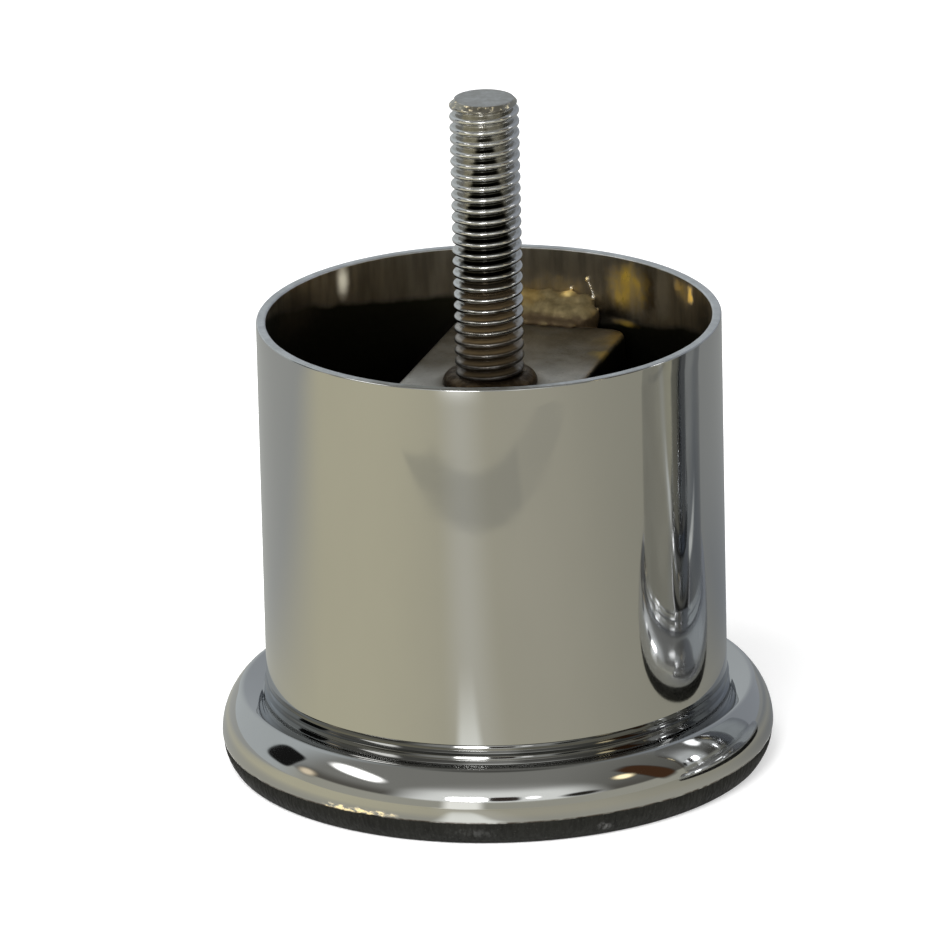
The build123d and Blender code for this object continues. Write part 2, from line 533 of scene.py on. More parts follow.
def build_bar_mesh():
    """Sheared flat bar: drooped upper edge, square sides, its face slightly uneven."""
    count = 480
    hole = []
    for index in range(count):
        angle = 2 * pi * index / count
        hole.append(Vector((shank_radius * cos(angle), shank_radius * sin(angle))))
    low = bar_low.z
    high = bar_high.z
    # Inset in millimetres and height of each ring up the bar's side
    levels = (
        (0.0, low + 0.25 * MM), (0.0, low + 1.6 * MM), (0.0, high - 0.75 * MM), (0.06, high - 0.45 * MM),
        (0.2, high - 0.2 * MM), (0.45, high - 0.06 * MM), (0.85, high - 0.01 * MM),
    )
    bm = bmesh.new()
    rings = [flat_ring(bm, hole, low), flat_ring(bm, bar_plan(0.3 * MM, bar_corner - 0.2 * MM, count), low)]
    for inset, height in levels:
        rings.append(flat_ring(bm, bar_plan(inset * MM, bar_corner - inset * 0.4 * MM, count), height))
    edge = bar_plan(1.4 * MM, bar_corner - 0.6 * MM, count)
    face_steps = 22
    for step in range(face_steps + 1):
        ring = []
        for outer, inner in zip(edge, hole):
            spot = outer.lerp(inner, step / face_steps)
            dent = wobble(spot.x, spot.y, 0, 5 * MM, 4.4) * 0.04 * MM
            pit = max(0.0, wobble(spot.x, spot.y, 0, 1.6 * MM, 7.7) - 0.35) * 0.10 * MM
            ring.append(bm.verts.new((spot.x, spot.y, high - abs(dent) - pit)))
        rings.append(ring)
    for row in range(len(rings)):
        join_rings(bm, rings[row], rings[(row + 1) % len(rings)])
    return bm


# Share of a turn from the crest's middle, and how much of the thread's depth is cut there
thread_shape = (
    (0.0, 0.0), (0.05, 0.008), (0.1, 0.035), (0.15, 0.09), (0.2, 0.18), (0.25, 0.3),
    (0.3, 0.45), (0.35, 0.62), (0.4, 0.79), (0.44, 0.92), (0.47, 0.985), (0.5, 1.0),
)


def thread_reach(sizes, turn, height):
    """Radius of the threaded stud: rolled crests, straight flanks and tight roots, cut back at the tip."""
    crest = stud_high.x
    reach = crest - sizes.thread_depth * along(thread_shape, abs(turn - round(turn)))
    left = stud_high.z - height
    if left < tip_chamfer:
        reach = min(reach, crest - tip_chamfer + left)
    return reach


def build_stud_mesh(sizes):
    """Stud with a right-hand helical thread, a flat tip and a plain shank through the bar."""
    around = 128
    shares = [share for share, _ in thread_shape[:-1]]
    shares += [1 - share for share, _ in reversed(thread_shape[1:])]
    each = len(shares)
    low = bar_high.z - 0.2 * MM
    top = stud_high.z
    turns = ceil((top - low) / sizes.thread_pitch) + 2
    rows = turns * each + 1
    bm = bmesh.new()
    columns = []
    for step in range(around):
        x = cos(2 * pi * step / around)
        y = sin(2 * pi * step / around)
        column = []
        for row in range(rows):
            turn = row // each + shares[row % each]
            height = low - sizes.thread_pitch * 1.5 + sizes.thread_pitch * (turn + step / around)
            held = min(max(height, low), top)
            phase = turn if held == height else (held - low) / sizes.thread_pitch + 1.5 - step / around
            reach = thread_reach(sizes, phase, held)
            wear = wobble(x * reach, y * reach, held, 1.6 * MM, 6.3) * 0.012 * MM
            knock = max(0.0, wobble(x * reach, y * reach, held, 2.4 * MM, 2.9) - 0.42) * 0.2 * MM
            reach = min(reach + wear - knock, stud_high.x)
            column.append(bm.verts.new((x * reach, y * reach, held)))
        columns.append(column)
    for step, column in enumerate(columns):
        after = columns[(step + 1) % around]
        lift = 0 if step + 1 < around else each
        for row in range(rows - 1 - lift):
            corners = [column[row], after[row + lift], after[row + 1 + lift], column[row + 1]]
            heights = [corner.co.z for corner in corners]
            if max(heights) - min(heights) > 1e-8:
                bm.faces.new(corners)
    bmesh.ops.remove_doubles(bm, verts=bm.verts, dist=2e-7)
    loose = [vert for vert in bm.verts if not vert.link_faces]
    bmesh.ops.delete(bm, geom=loose, context="VERTS")
    cap_shank(bm, open_edge(bm, low), low)
    cap_tip(bm, open_edge(bm, top), top)
    return bm


def open_edge(bm, height):
    """Points of the mesh's open edge at one height, in order round the stud."""
    rim = [vert for vert in bm.verts if abs(vert.co.z - height) < touching and vert.is_boundary]
    rim.sort(key=lambda vert: Vector((vert.co.x, vert.co.y)).angle_signed(Vector((1, 0)), 0.0))
    return rim


def cap_tip(bm, rim, top):
    """Flat end of the stud with a slightly rolled, uneven edge."""
    ring = rim
    for part, drop in ((0.95, -0.03), (0.86, -0.012), (0.6, 0.0), (0.3, 0.0)):
        inner = []
        for vert in rim:
            uneven = wobble(vert.co.x, vert.co.y, 0, 1.0 * MM, 5.1) * 0.02 * MM
            inner.append(bm.verts.new((vert.co.x * part, vert.co.y * part, top + drop * MM - abs(uneven))))
        join_rings(bm, ring, inner)
        ring = inner
    join_rings(bm, ring, [bm.verts.new((0, 0, top - 0.01 * MM))])


def cap_shank(bm, rim, low):
    """Plain shank from the thread's foot down through the bar."""
    plan = [Vector((vert.co.x, vert.co.y)).normalized() * shank_radius for vert in rim]
    ring = rim
    for height in (low - 0.05 * MM, bar_low.z):
        lower = flat_ring(bm, plan, height)
        join_rings(bm, ring, lower)
        ring = lower
    bm.faces.new(ring)


def build_ring_mesh():
    """Uneven ring of braze round the stud's root."""
    inner = 4.15 * MM
    crown = 4.75 * MM
    outer = ring_high.x
    foot = bar_high.z - 0.02 * MM
    side = foot + 0.16 * MM
    outline = [(inner, foot), (outer - 0.1 * MM, foot), (outer, side)]
    steps = 14
    for index in range(1, steps + 1):
        swing = index / steps * pi / 2
        radius = outer - (outer - crown) * (1 - cos(swing)) ** 0.9
        outline.append((radius, side + (ring_high.z - foot - 0.3 * MM) * sin(swing)))
    outline.append((inner, ring_high.z - 0.12 * MM))

    def shift(row, angle):
        if row == 0 or row == len(outline) - 1:
            return (0, 0)
        swell = round_wobble(angle, outer, 2.6 * MM, 1.4) * 0.22 * MM
        grain = round_wobble(angle, outer, 0.6 * MM, 6.6, row * 0.15 * MM) * 0.035 * MM
        return (min(0.0, swell) + min(0.0, grain), (swell * 0.5 if row > 2 else 0) - abs(grain))

    bm = bmesh.new()
    rings = lathe(bm, outline, 144, None, shift)
    join_rings(bm, rings[-1], rings[0])
    return bm


def lump(bm, place, radius, squash, seed):
    """One frozen ripple of weld: a round blob, pressed and roughened."""
    made = bmesh.ops.create_icosphere(bm, subdivisions=4, radius=1.0)
    for vert in made["verts"]:
        coarse = noise.noise(vert.co * 1.7 + Vector((seed, 0, seed)))
        fine = noise.noise(vert.co * 5 + Vector((0, seed, 0)))
        pressed = Vector((vert.co.x * squash[0], vert.co.y * squash[1], vert.co.z * squash[2]))
        vert.co = pressed * radius * (1 + 0.10 * coarse + 0.04 * fine)
        vert.co += place


def melt_together(name, bm, voxel, smoothing):
    """Runs separate blobs into one skin, as weld metal does, and returns its mesh."""
    blobs = link_mesh(name + "_blobs", bm, [])
    skin = blobs.modifiers.new("Skin", "REMESH")
    skin.mode = "VOXEL"
    skin.voxel_size = voxel
    ease = blobs.modifiers.new("Ease", "SMOOTH")
    ease.factor = 0.5
    ease.iterations = smoothing
    bpy.context.view_layer.update()
    ready = blobs.evaluated_get(bpy.context.evaluated_depsgraph_get())
    melted = bmesh.new()
    melted.from_mesh(ready.to_mesh())
    ready.to_mesh_clear()
    mesh = blobs.data
    bpy.data.objects.remove(blobs)
    bpy.data.meshes.remove(mesh)
    return melted


def wall_spot(angle, radius, height):
    """Point at a turn angle in degrees, a radius and a height in millimetres."""
    return Vector((radius * cos(radians(angle)), radius * sin(radians(angle)), height)) * MM


def build_bead_mesh(name, start, end, seed):
    """Lumpy weld from the bar's end up the tube wall, between two turn angles in degrees."""
    draw = random.Random(seed)
    bm = bmesh.new()
    count = 15
    for index in range(count):
        angle = start + (end - start) * (index / (count - 1))
        swell = 1 + 0.09 * sin(index * 2.1 + seed) + draw.uniform(-0.06, 0.06)
        body = wall_spot(angle, weld_wall - 1.9, 54.0)
        lump(bm, body, 2.3 * MM * swell, (1.0, 1.0, 0.9), seed + index)
        toe = wall_spot(angle + 0.8, weld_wall - 0.7, 55.0 + weld_climb * swell)
        lump(bm, toe, 1.5 * MM * swell, (1, 1, 1.05), seed + 2 * index)
        root = wall_spot(angle, weld_wall - 2.6, 51.6)
        lump(bm, root, 2.4 * MM, (1, 1, 0.9), seed + 3 * index)
        if index % 2:
            lap = wall_spot(angle + draw.uniform(-1, 1), weld_wall - 4.6, 53.6)
            lump(bm, lap, 1.15 * MM * swell, (1.2, 1.0, 0.6), seed + index)
    melted = melt_together(name, bm, 0.22 * MM, 9)
    limit = (weld_wall + 0.25) * MM
    for vert in melted.verts:
        grain = noise.noise(vert.co * 700 + Vector((seed, seed, 0))) * 0.06 * MM
        fine = noise.noise(vert.co * 2000) * 0.01 * MM
        vert.co += vert.normal * (grain + fine)
        reach = Vector((vert.co.x, vert.co.y)).length
        if reach > limit:
            vert.co.x *= limit / reach
            vert.co.y *= limit / reach
    return melted


# Turn angle, radius, height and size of each bead of spatter, in degrees and millimetres
spatter_beads = (
    (79.8, 30.3, 59.0, 0.34), (84.4, 30.3, 57.4, 0.3), (78.0, 30.2, 56.5, 0.34), (77.0, 30.2, 54.8, 0.24),
    (103.5, 30.35, 57.9, 0.24), (112.0, 30.35, 56.0, 0.2),
)


def build_spatter_mesh():
    """Small beads of spatter and one thin run of flux beside the rear weld."""
    bm = bmesh.new()
    for angle, radius, height, size in spatter_beads:
        lump(bm, wall_spot(angle, radius, height), size * MM, (1, 1, 1.25), angle)
    for step in range(10):
        place = wall_spot(79.6 - step * 0.17, 30.35, 58.7 - step * 0.22)
        lump(bm, place, (0.11 + 0.03 * (step % 2)) * MM, (1, 1, 1.8), step)
    return bm


# Node helpers


def feed(tree, node, inputs):
    """Gives each input of a node its number or colour, or links it to a socket."""
    for name, value in inputs.items():
        if isinstance(value, bpy.types.NodeSocket):
            tree.links.new(value, node.inputs[name])
        else:
            node.inputs[name].default_value = value


def add_node(tree, kind, settings=None, inputs=None):
    """Adds a node with its settings, and a number, a colour or a socket for each input."""
    node = tree.nodes.new(kind)
    for name, value in (settings or {}).items():
        setattr(node, name, value)
    feed(tree, node, inputs or {})
    return node


def calc(tree, operation, first, second=0.0, third=0.0):
    """One Math node, each value a number or a socket."""
    values = {0: first, 1: second, 2: third}
    return add_node(tree, "ShaderNodeMath", {"operation": operation}, values).outputs[0]


def chain(tree, operation, first, *others):
    """The same Math node over a row of values."""
    for other in others:
        first = calc(tree, operation, first, other)
    return first


def times(tree, *values):
    """Product of numbers and sockets."""
    return chain(tree, "MULTIPLY", *values)


def most(tree, *values):
    """Highest of some masks."""
    return chain(tree, "MAXIMUM", *values)


def total(tree, *values):
    """Sum of numbers and sockets."""
    return chain(tree, "ADD", *values)


def minus(tree, first, second):
    """First less second."""
    return calc(tree, "SUBTRACT", first, second)


def size_of(tree, value):
    """Value without its sign."""
    return calc(tree, "ABSOLUTE", value)


def remap(tree, value, low, high, start=0.0, end=1.0):
    """Eased step: start up to low, end from high on."""
    span = {"Value": value, "From Min": low, "From Max": high, "To Min": start, "To Max": end}
    return add_node(tree, "ShaderNodeMapRange", {"interpolation_type": "SMOOTHSTEP"}, span).outputs["Result"]


def opaque(colour):
    """Colour with its fourth number, or the socket as it is."""
    return colour if isinstance(colour, bpy.types.NodeSocket) else (*tuple(colour)[:3], 1)


def blend(tree, mask, first, second):
    """Colour that goes from first to second with the mask."""
    inputs = {0: mask, 6: opaque(first), 7: opaque(second)}
    return add_node(tree, "ShaderNodeMix", {"data_type": "RGBA"}, inputs).outputs[2]


def layer(tree, base, mask, colour, share=1.0):
    """Base with a colour laid over it where the mask says, at most by share."""
    return blend(tree, mask if share == 1.0 else times(tree, mask, share), base, colour)


def scaled(colour, factor):
    """Lighter or darker version of a colour."""
    return [value * factor for value in colour]


def vector_math(tree, operation, first, second=(0, 0, 0)):
    """One Vector Math node, each value a vector or a socket."""
    return add_node(tree, "ShaderNodeVectorMath", {"operation": operation}, {0: first, 1: second}).outputs


def object_place(tree):
    """Place of the shaded point, in the leg's own frame."""
    return add_node(tree, "ShaderNodeTexCoord").outputs["Object"]


def stretched(tree, place, x, y, z):
    """Place with each of its measures multiplied."""
    sizes = add_node(tree, "ShaderNodeCombineXYZ", None, {"X": x, "Y": y, "Z": z})
    return vector_math(tree, "MULTIPLY", place, sizes.outputs[0])[0]


def turned_parts(tree, place, angle):
    """X, Y and Z of a place once it is turned round the leg's axis."""
    inputs = {"Vector": place, "Angle": angle}
    turned = add_node(tree, "ShaderNodeVectorRotate", {"rotation_type": "Z_AXIS"}, inputs)
    return add_node(tree, "ShaderNodeSeparateXYZ", None, {0: turned.outputs[0]}).outputs


def cloud_texture(tree, settings, inputs):
    """Value of one Noise Texture."""
    return add_node(tree, "ShaderNodeTexNoise", settings, inputs).outputs["Fac"]


def bump(tree, shader, height, distance):
    """Feeds a height into the shader's normal."""
    inputs = {"Strength": 1.0, "Distance": distance, "Height": height}
    node = add_node(tree, "ShaderNodeBump", None, inputs)
    tree.links.new(node.outputs["Normal"], shader.inputs["Normal"])


def new_group(name, inputs, outputs):
    """Empty shader node group. inputs gives each number's default, outputs gives each socket's kind."""
    tree = bpy.data.node_groups.new(name, "ShaderNodeTree")
    for label, value in inputs.items():
        tree.interface.new_socket(label, in_out="INPUT", socket_type="NodeSocketFloat").default_value = value
    for label, kind in outputs.items():
        tree.interface.new_socket(label, in_out="OUTPUT", socket_type="NodeSocket" + kind)
    return tree, tree.nodes.new("NodeGroupInput").outputs, tree.nodes.new("NodeGroupOutput")


def use_group(tree, name, inputs=None):
    """Places a finished group and returns its outputs."""
    return add_node(tree, "ShaderNodeGroup", {"node_tree": bpy.data.node_groups[name]}, inputs).outputs


def new_tree(name, kind):
    """Material with a node tree that holds one shader and an output."""
    material = bpy.data.materials.new(name)
    material.use_nodes = True
    tree = material.node_tree
    tree.nodes.clear()
    shader = tree.nodes.new(kind)
    output = tree.nodes.new("ShaderNodeOutputMaterial")
    tree.links.new(shader.outputs[0], output.inputs["Surface"])
    return material, tree, shader, output


# Effects that several finishes share


def group_round_place():
    """Where a point lies: turn in degrees, distance from the axis and height in millimetres, and place."""
    outputs = {"Turn": "Float", "Radius": "Float", "Height": "Float", "Place": "Vector"}
    tree, _, out = new_group("Round Place", {}, outputs)
    place = object_place(tree)
    parts = add_node(tree, "ShaderNodeSeparateXYZ", None, {0: place}).outputs
    flat = add_node(tree, "ShaderNodeCombineXYZ", None, {"X": parts["X"], "Y": parts["Y"]})
    radius = vector_math(tree, "LENGTH", flat.outputs[0])["Value"]
    feed(tree, out, {
        "Turn": calc(tree, "DEGREES", calc(tree, "ARCTAN2", parts["Y"], parts["X"])),
        "Radius": times(tree, radius, 1000),
        "Height": times(tree, parts["Z"], 1000),
        "Place": place,
    })


def group_mottle():
    """Cloudy variation between 0 and 1 with features of one size, stretched up or down if asked."""
    inputs = {"Size": 5.0, "Stretch": 1.0, "Low": 0.35, "High": 0.65, "Detail": 3.0, "Shift": 0.0}
    tree, given, out = new_group("Mottle", inputs, {"Mask": "Float"})
    scale = calc(tree, "DIVIDE", 1000, given["Size"])
    place = stretched(tree, object_place(tree), scale, scale, calc(tree, "DIVIDE", scale, given["Stretch"]))
    moved = vector_math(tree, "ADD", place, given["Shift"])[0]
    cloud = cloud_texture(tree, None, {"Vector": moved, "Scale": 1.0, "Detail": given["Detail"]})
    feed(tree, out, {"Mask": remap(tree, cloud, given["Low"], given["High"])})


def group_patch():
    """Soft oval patch on the round wall at one turn and height, its edge broken up by clouds."""
    inputs = {
        "Turn": 0.0, "Height": 0.0, "Half Turn": 10.0, "Half Height": 2.0, "Softness": 0.6, "Break": 0.3,
    }
    tree, given, out = new_group("Wall Patch", inputs, {"Mask": "Float"})
    here = use_group(tree, "Round Place")
    gap = calc(tree, "WRAP", minus(tree, here["Turn"], given["Turn"]), 180, -180)
    across = calc(tree, "DIVIDE", gap, given["Half Turn"])
    up = calc(tree, "DIVIDE", minus(tree, here["Height"], given["Height"]), given["Half Height"])
    far = calc(tree, "SQRT", total(tree, times(tree, across, across), times(tree, up, up)))
    cloud = mottle(tree, 1.6, 0.2, 0.8, detail=4.0)
    edge = total(tree, far, times(tree, minus(tree, cloud, 0.5), given["Break"]))
    feed(tree, out, {"Mask": remap(tree, edge, minus(tree, 1.0, given["Softness"]), 1.0, 1.0, 0.0)})


def group_scratches():
    """Fine straight scratches along one direction, as a height between 0 and 1."""
    inputs = {"Turn": 0.0, "Width": 0.12, "Length": 6.0}
    tree, given, out = new_group("Fine Scratches", inputs, {"Height": "Float"})
    inputs = {"Vector": object_place(tree), "Angle": given["Turn"]}
    turned = add_node(tree, "ShaderNodeVectorRotate", {"rotation_type": "Z_AXIS"}, inputs).outputs[0]
    thin = calc(tree, "DIVIDE", 1000, given["Width"])
    long = calc(tree, "DIVIDE", 1000, given["Length"])
    place = stretched(tree, turned, thin, long, long)
    feed(tree, out, {"Height": cloud_texture(tree, None, {"Vector": place, "Scale": 1.0, "Detail": 4.0})})


def build_groups():
    """Makes every shared effect once."""
    if "Round Place" not in bpy.data.node_groups:
        group_round_place()
        group_mottle()
        group_patch()
        group_scratches()


def patch(tree, turn, height, half_turn, half_height, softness=0.6, ragged=0.3):
    """Mask of one soft patch on the round wall."""
    values = {
        "Turn": turn, "Height": height, "Half Turn": half_turn, "Half Height": half_height,
        "Softness": softness, "Break": ragged,
    }
    return use_group(tree, "Wall Patch", values)["Mask"]


def patches(tree, table):
    """Mask of several soft patches, each with its share at the end of its row."""
    return most(tree, *[times(tree, patch(tree, *row[:-1]), row[-1]) for row in table])


def mottle(tree, size, low=0.35, high=0.65, stretch=1.0, detail=3.0, shift=0.0):
    """Mask of cloudy variation."""
    values = {"Size": size, "Stretch": stretch, "Low": low, "High": high, "Detail": detail, "Shift": shift}
    return use_group(tree, "Mottle", values)["Mask"]


# Finishes. Each row of patches gives turn, height, half turn, half height, softness, raggedness and share


def chrome_finish(tree, shader, looks):
    """Bright chrome plating: faint waviness, wiped smears, a brown line at the plating's lower edge, a
    painted glint on its burr and painted shade in the neck rings.
    """
    here = use_group(tree, "Round Place")
    colour = blend(tree, mottle(tree, 14.0, 0.3, 0.7, 2.0), looks.chrome, scaled(looks.chrome, 0.965))
    edge = remap(tree, here["Height"], 3.36, 3.62, 1.0, 0.0)
    broken = times(tree, edge, mottle(tree, 1.4, 0.25, 0.6, detail=4.0))
    colour = layer(tree, colour, broken, (0.07, 0.042, 0.026), 0.9)
    # Painted glint: a bright golden patch on the burred lower edge, with less metal in it so that it shows as
    # lit
    burr = times(tree, patch(tree, -102.5, 3.72, 11.0, 0.5, 0.6, 0.9), mottle(tree, 1.1, 0.42, 0.6, 0.5, 4.0))
    colour = layer(tree, colour, burr, (0.95, 0.78, 0.42))
    # Painted shade in the neck rings: dark grey, less dark in front, and a painted bluish reflection on the
    # left and right sides
    neck = times(
        tree,
        remap(tree, here["Radius"], 32.8, 32.4),
        remap(tree, here["Height"], 12.3, 12.15),
        remap(tree, here["Height"], 9.5, 9.75),
    )
    front = minus(tree, 0.84, times(tree, patch(tree, -75.0, 9.0, 9.0, 60.0, 0.6, 0.1), 0.45))
    sides = most(
        tree,
        patch(tree, -160.0, 10.0, 26.0, 60.0, 0.8, 0.1),
        patch(tree, 14.0, 10.0, 26.0, 60.0, 0.8, 0.1),
    )
    painted_shade = blend(tree, sides, (0.10, 0.10, 0.095), (0.22, 0.25, 0.30))
    colour = layer(tree, colour, times(tree, neck, front), painted_shade)
    smear = times(tree, mottle(tree, 9.0, 0.45, 0.75, 0.6, 4.0), 0.05)
    feed(tree, shader, {
        "Base Color": colour,
        "Metallic": minus(tree, 1.0, times(tree, burr, 0.9)),
        "Roughness": total(tree, looks.chrome_gloss, smear, times(tree, broken, 0.2)),
    })
    inputs = {"Vector": here["Place"], "Scale": 110.0, "Detail": 2.0, "Roughness": 0.4}
    bump(tree, shader, cloud_texture(tree, None, inputs), 0.012 * MM)


def rim_finish(tree, shader, looks):
    """Ground rim face under the plating: satin, with fine arcs from the grinder."""
    here = use_group(tree, "Round Place")
    colour = blend(tree, mottle(tree, 2.2, 0.3, 0.7, 1.0, 5.0), looks.rim, scaled(looks.rim, 0.82))
    # Painted shade: a darker patch over the rim's face at the front
    colour = layer(tree, colour, patch(tree, -83.0, 63.0, 34.0, 60.0, 0.8, 0.5), (0.27, 0.255, 0.21), 0.85)
    feed(tree, shader, {
        "Base Color": colour,
        "Metallic": 1.0,
        "Roughness": remap(tree, mottle(tree, 0.8, 0.2, 0.8), 0, 1, 0.34, 0.46),
    })
    inputs = {"W": here["Radius"], "Scale": 9.0, "Detail": 4.0}
    lines = cloud_texture(tree, {"noise_dimensions": "1D"}, inputs)
    pits = times(tree, mottle(tree, 0.35, 0.3, 0.7, 1.0, 4.0), 0.5)
    bump(tree, shader, total(tree, lines, pits), 0.02 * MM)


def bore_finish(tree, shader, looks):
    """Inside of the tube: a painted lit band under the rim down to a painted shadow line, dark below it,
    golden bloom beside the weld, and painted glints, highlight and shade.
    """
    here = use_group(tree, "Round Place")
    # Painted light and shadow: the wall is lit, streaky brown-grey, down to a line that sinks towards the
    # back and the right, and painted dark below it
    streaks = mottle(tree, 1.6, 0.3, 0.72, 7.0, 4.0)
    dull = blend(tree, streaks, looks.bore_lit_band, scaled(looks.bore_lit_band, 0.62))
    parts = turned_parts(tree, here["Place"], -photo_turn)
    deeper = remap(tree, parts["X"], 0.004, 0.016, 0.0, 4.0)
    reach = total(tree, times(tree, parts["Y"], 232), deeper)
    uneven = times(tree, mottle(tree, 8.0, 0.2, 0.8), 0.8)
    line = minus(tree, 63.2, total(tree, reach, uneven))
    plated = remap(tree, minus(tree, here["Height"], line), -0.45, 0.75)
    colour = blend(tree, plated, looks.bore_painted_shadow, dull)
    pale_strip = patch(tree, 54.5, 60.0, 4.2, 6.0, 0.7, 0.3)
    colour = layer(tree, colour, pale_strip, (0.62, 0.58, 0.49), 0.6)
    brown_strip = patch(tree, 60.3, 58.5, 3.6, 6.0, 0.8, 0.5)
    colour = layer(tree, colour, brown_strip, (0.10, 0.065, 0.025), 0.75)
    blooms = (
        (67.3, 58.9, 9.0, 4.6, 0.8, 0.3, 1.0),
        (70.2, 57.2, 4.5, 3.2, 0.9, 0.3, 1.0),
        (45.0, 60.8, 5.0, 2.6, 0.9, 0.4, 0.7),
        # The row below is a painted reflection of the bar's corner, in the bloom's colour
        (68.2, 53.55, 5.8, 0.7, 0.8, 0.3, 0.7),
        (90.0, 57.6, 15.0, 2.4, 0.9, 0.7, 0.3),
    )
    cloudy = remap(tree, mottle(tree, 2.4, 0.25, 0.75, 3.0, 4.0), 0, 1, 0.5, 1.0)
    gold = times(tree, patches(tree, blooms), cloudy)
    colour = layer(tree, colour, gold, looks.heat_tint)
    # Painted glints: two small orange bright spots, with less metal in them so that they show as lit
    painted_glint_spots = patches(tree, ((41.2, 61.0, 2.2, 2.2, 1.0, 1.0, 1.0), (47.6, 61.4, 3.0, 1.2, 1.0, 1.0, 0.3)))
    colour = layer(tree, colour, painted_glint_spots, (1.0, 0.62, 0.12))
    soot = patches(tree, ((72.4, 54.6, 7.5, 3.0, 0.9, 0.5, 0.85),))
    soot = times(tree, soot, remap(tree, here["Height"], 53.6, 54.4))
    colour = layer(tree, colour, soot, (0.022, 0.016, 0.011))
    # Painted shade: the wall darkened on the left and right
    painted_shade_sides = most(
        tree, patch(tree, 168.0, 59.0, 16.0, 5.5, 0.9, 0.2), patch(tree, 30.0, 59.0, 8.0, 5.5, 0.9, 0.2)
    )
    colour = layer(tree, colour, painted_shade_sides, (0.10, 0.08, 0.055), 0.55)
    # Painted highlight: a pale upright patch of lamp light on the wall, with less metal so that it shows as
    # lit
    painted_highlight = patch(tree, 148.2, 60.9, 3.2, 3.4, 0.9, 0.15)
    colour = layer(tree, colour, painted_highlight, (0.92, 0.86, 0.68))
    lit = most(tree, times(tree, gold, 0.45), times(tree, painted_highlight, 0.75), times(tree, painted_glint_spots, 0.9))
    feed(tree, shader, {
        "Base Color": colour,
        "Metallic": minus(tree, 1.0, lit),
        "Roughness": minus(tree, remap(tree, plated, 0, 1, 0.5, 0.36), times(tree, gold, 0.1)),
    })
    bump(tree, shader, mottle(tree, 0.9, 0.2, 0.8, 4.0, 5.0), 0.02 * MM)


def rubber_finish(tree, shader, looks):
    """Dark rubber: fine upright marks from cutting on its side, dust and a light scuff."""
    here = use_group(tree, "Round Place")
    side = remap(tree, here["Height"], 0.02, 0.06)
    moulded = times(tree, mottle(tree, 1.2, 0.3, 0.7, 1.0, 5.0), minus(tree, 1.0, side))
    marks = total(tree, times(tree, mottle(tree, 0.42, 0.3, 0.7, 9.0, 4.0), side), moulded)
    base = blend(tree, marks, looks.rubber, scaled(looks.rubber, 0.6))
    base = layer(tree, base, mottle(tree, 5.5, 0.3, 0.7, 1.0, 4.0), scaled(looks.rubber, 1.7), 0.55)
    scuff = patches(tree, ((-51.0, 1.5, 2.2, 0.9, 0.9, 0.9, 1.0), (-78.0, 1.9, 6.0, 0.9, 0.9, 0.9, 0.35)))
    scuff = times(tree, scuff, mottle(tree, 0.5, 0.35, 0.65, 2.5, 4.0))
    base = layer(tree, base, scuff, (0.12, 0.12, 0.115))
    dust = mottle(tree, 0.28, 0.62, 0.78, 1.0, 2.0)
    base = layer(tree, base, dust, (0.20, 0.19, 0.17), 0.12)
    feed(tree, shader, {
        "Base Color": base,
        "Roughness": remap(tree, marks, 0, 1, 0.7, 0.85),
        "Specular IOR Level": 0.22,
    })
    bump(tree, shader, marks, 0.05 * MM)


def bar_finish(tree, shader, looks):
    """Sheared and tumbled steel bar: satin grey with fine scratches and brown stains round the weld."""
    here = use_group(tree, "Round Place")
    cloud = mottle(tree, 4.5, 0.3, 0.7, 1.0, 4.0)
    base = blend(tree, cloud, looks.bar, scaled(looks.bar, 0.8))
    rearward = remap(tree, turned_parts(tree, here["Place"], -photo_turn)["Y"], 0.0, 0.010)
    stain = times(tree, rearward, remap(tree, mottle(tree, 3.5, 0.2, 0.8, 1.0, 4.0), 0, 1, 0.7, 1.0))
    near_ring = remap(tree, here["Radius"], 8.2, 6.2)
    base = layer(tree, base, most(tree, stain, times(tree, near_ring, 0.8)), looks.stain, 0.88)
    corner = times(
        tree, patch(tree, 62.0, 53.5, 7.0, 60.0, 0.8, 0.6), remap(tree, here["Radius"], 19.0, 25.0), 0.4
    )
    edge = times(
        tree, patch(tree, 50.0, 53.5, 8.0, 60.0, 0.8, 0.6), remap(tree, here["Radius"], 16.6, 18.6), 0.85
    )
    base = layer(tree, base, most(tree, corner, edge), (0.46, 0.34, 0.11))
    # Lighter over the bar's top round turn 205 degrees, outside 8 to 12 mm from the axis
    lighter_patch = times(
        tree, patch(tree, 205.0, 53.5, 40.0, 60.0, 0.9, 0.2), remap(tree, here["Radius"], 8.0, 12.0)
    )
    base = layer(tree, base, lighter_patch, (0.80, 0.78, 0.73), 0.5)
    # Painted shade: nearly black below the bar's top face, down its sides inside the tube
    under = remap(tree, here["Height"], 53.15, 52.6)
    base = layer(tree, base, under, (0.02, 0.015, 0.01), 0.97)
    base = layer(tree, base, mottle(tree, 0.5, 0.62, 0.72, 1.0, 3.0), looks.stain, 0.5)
    feed(tree, shader, {
        "Base Color": base,
        "Metallic": 1.0,
        "Roughness": remap(tree, cloud, 0, 1, 0.36, 0.5),
    })
    lines = use_group(tree, "Fine Scratches", {"Turn": 0.12, "Width": 0.12, "Length": 5.0})["Height"]
    bump(tree, shader, total(tree, lines, mottle(tree, 0.7, 0.3, 0.7, 1.0, 4.0)), 0.02 * MM)


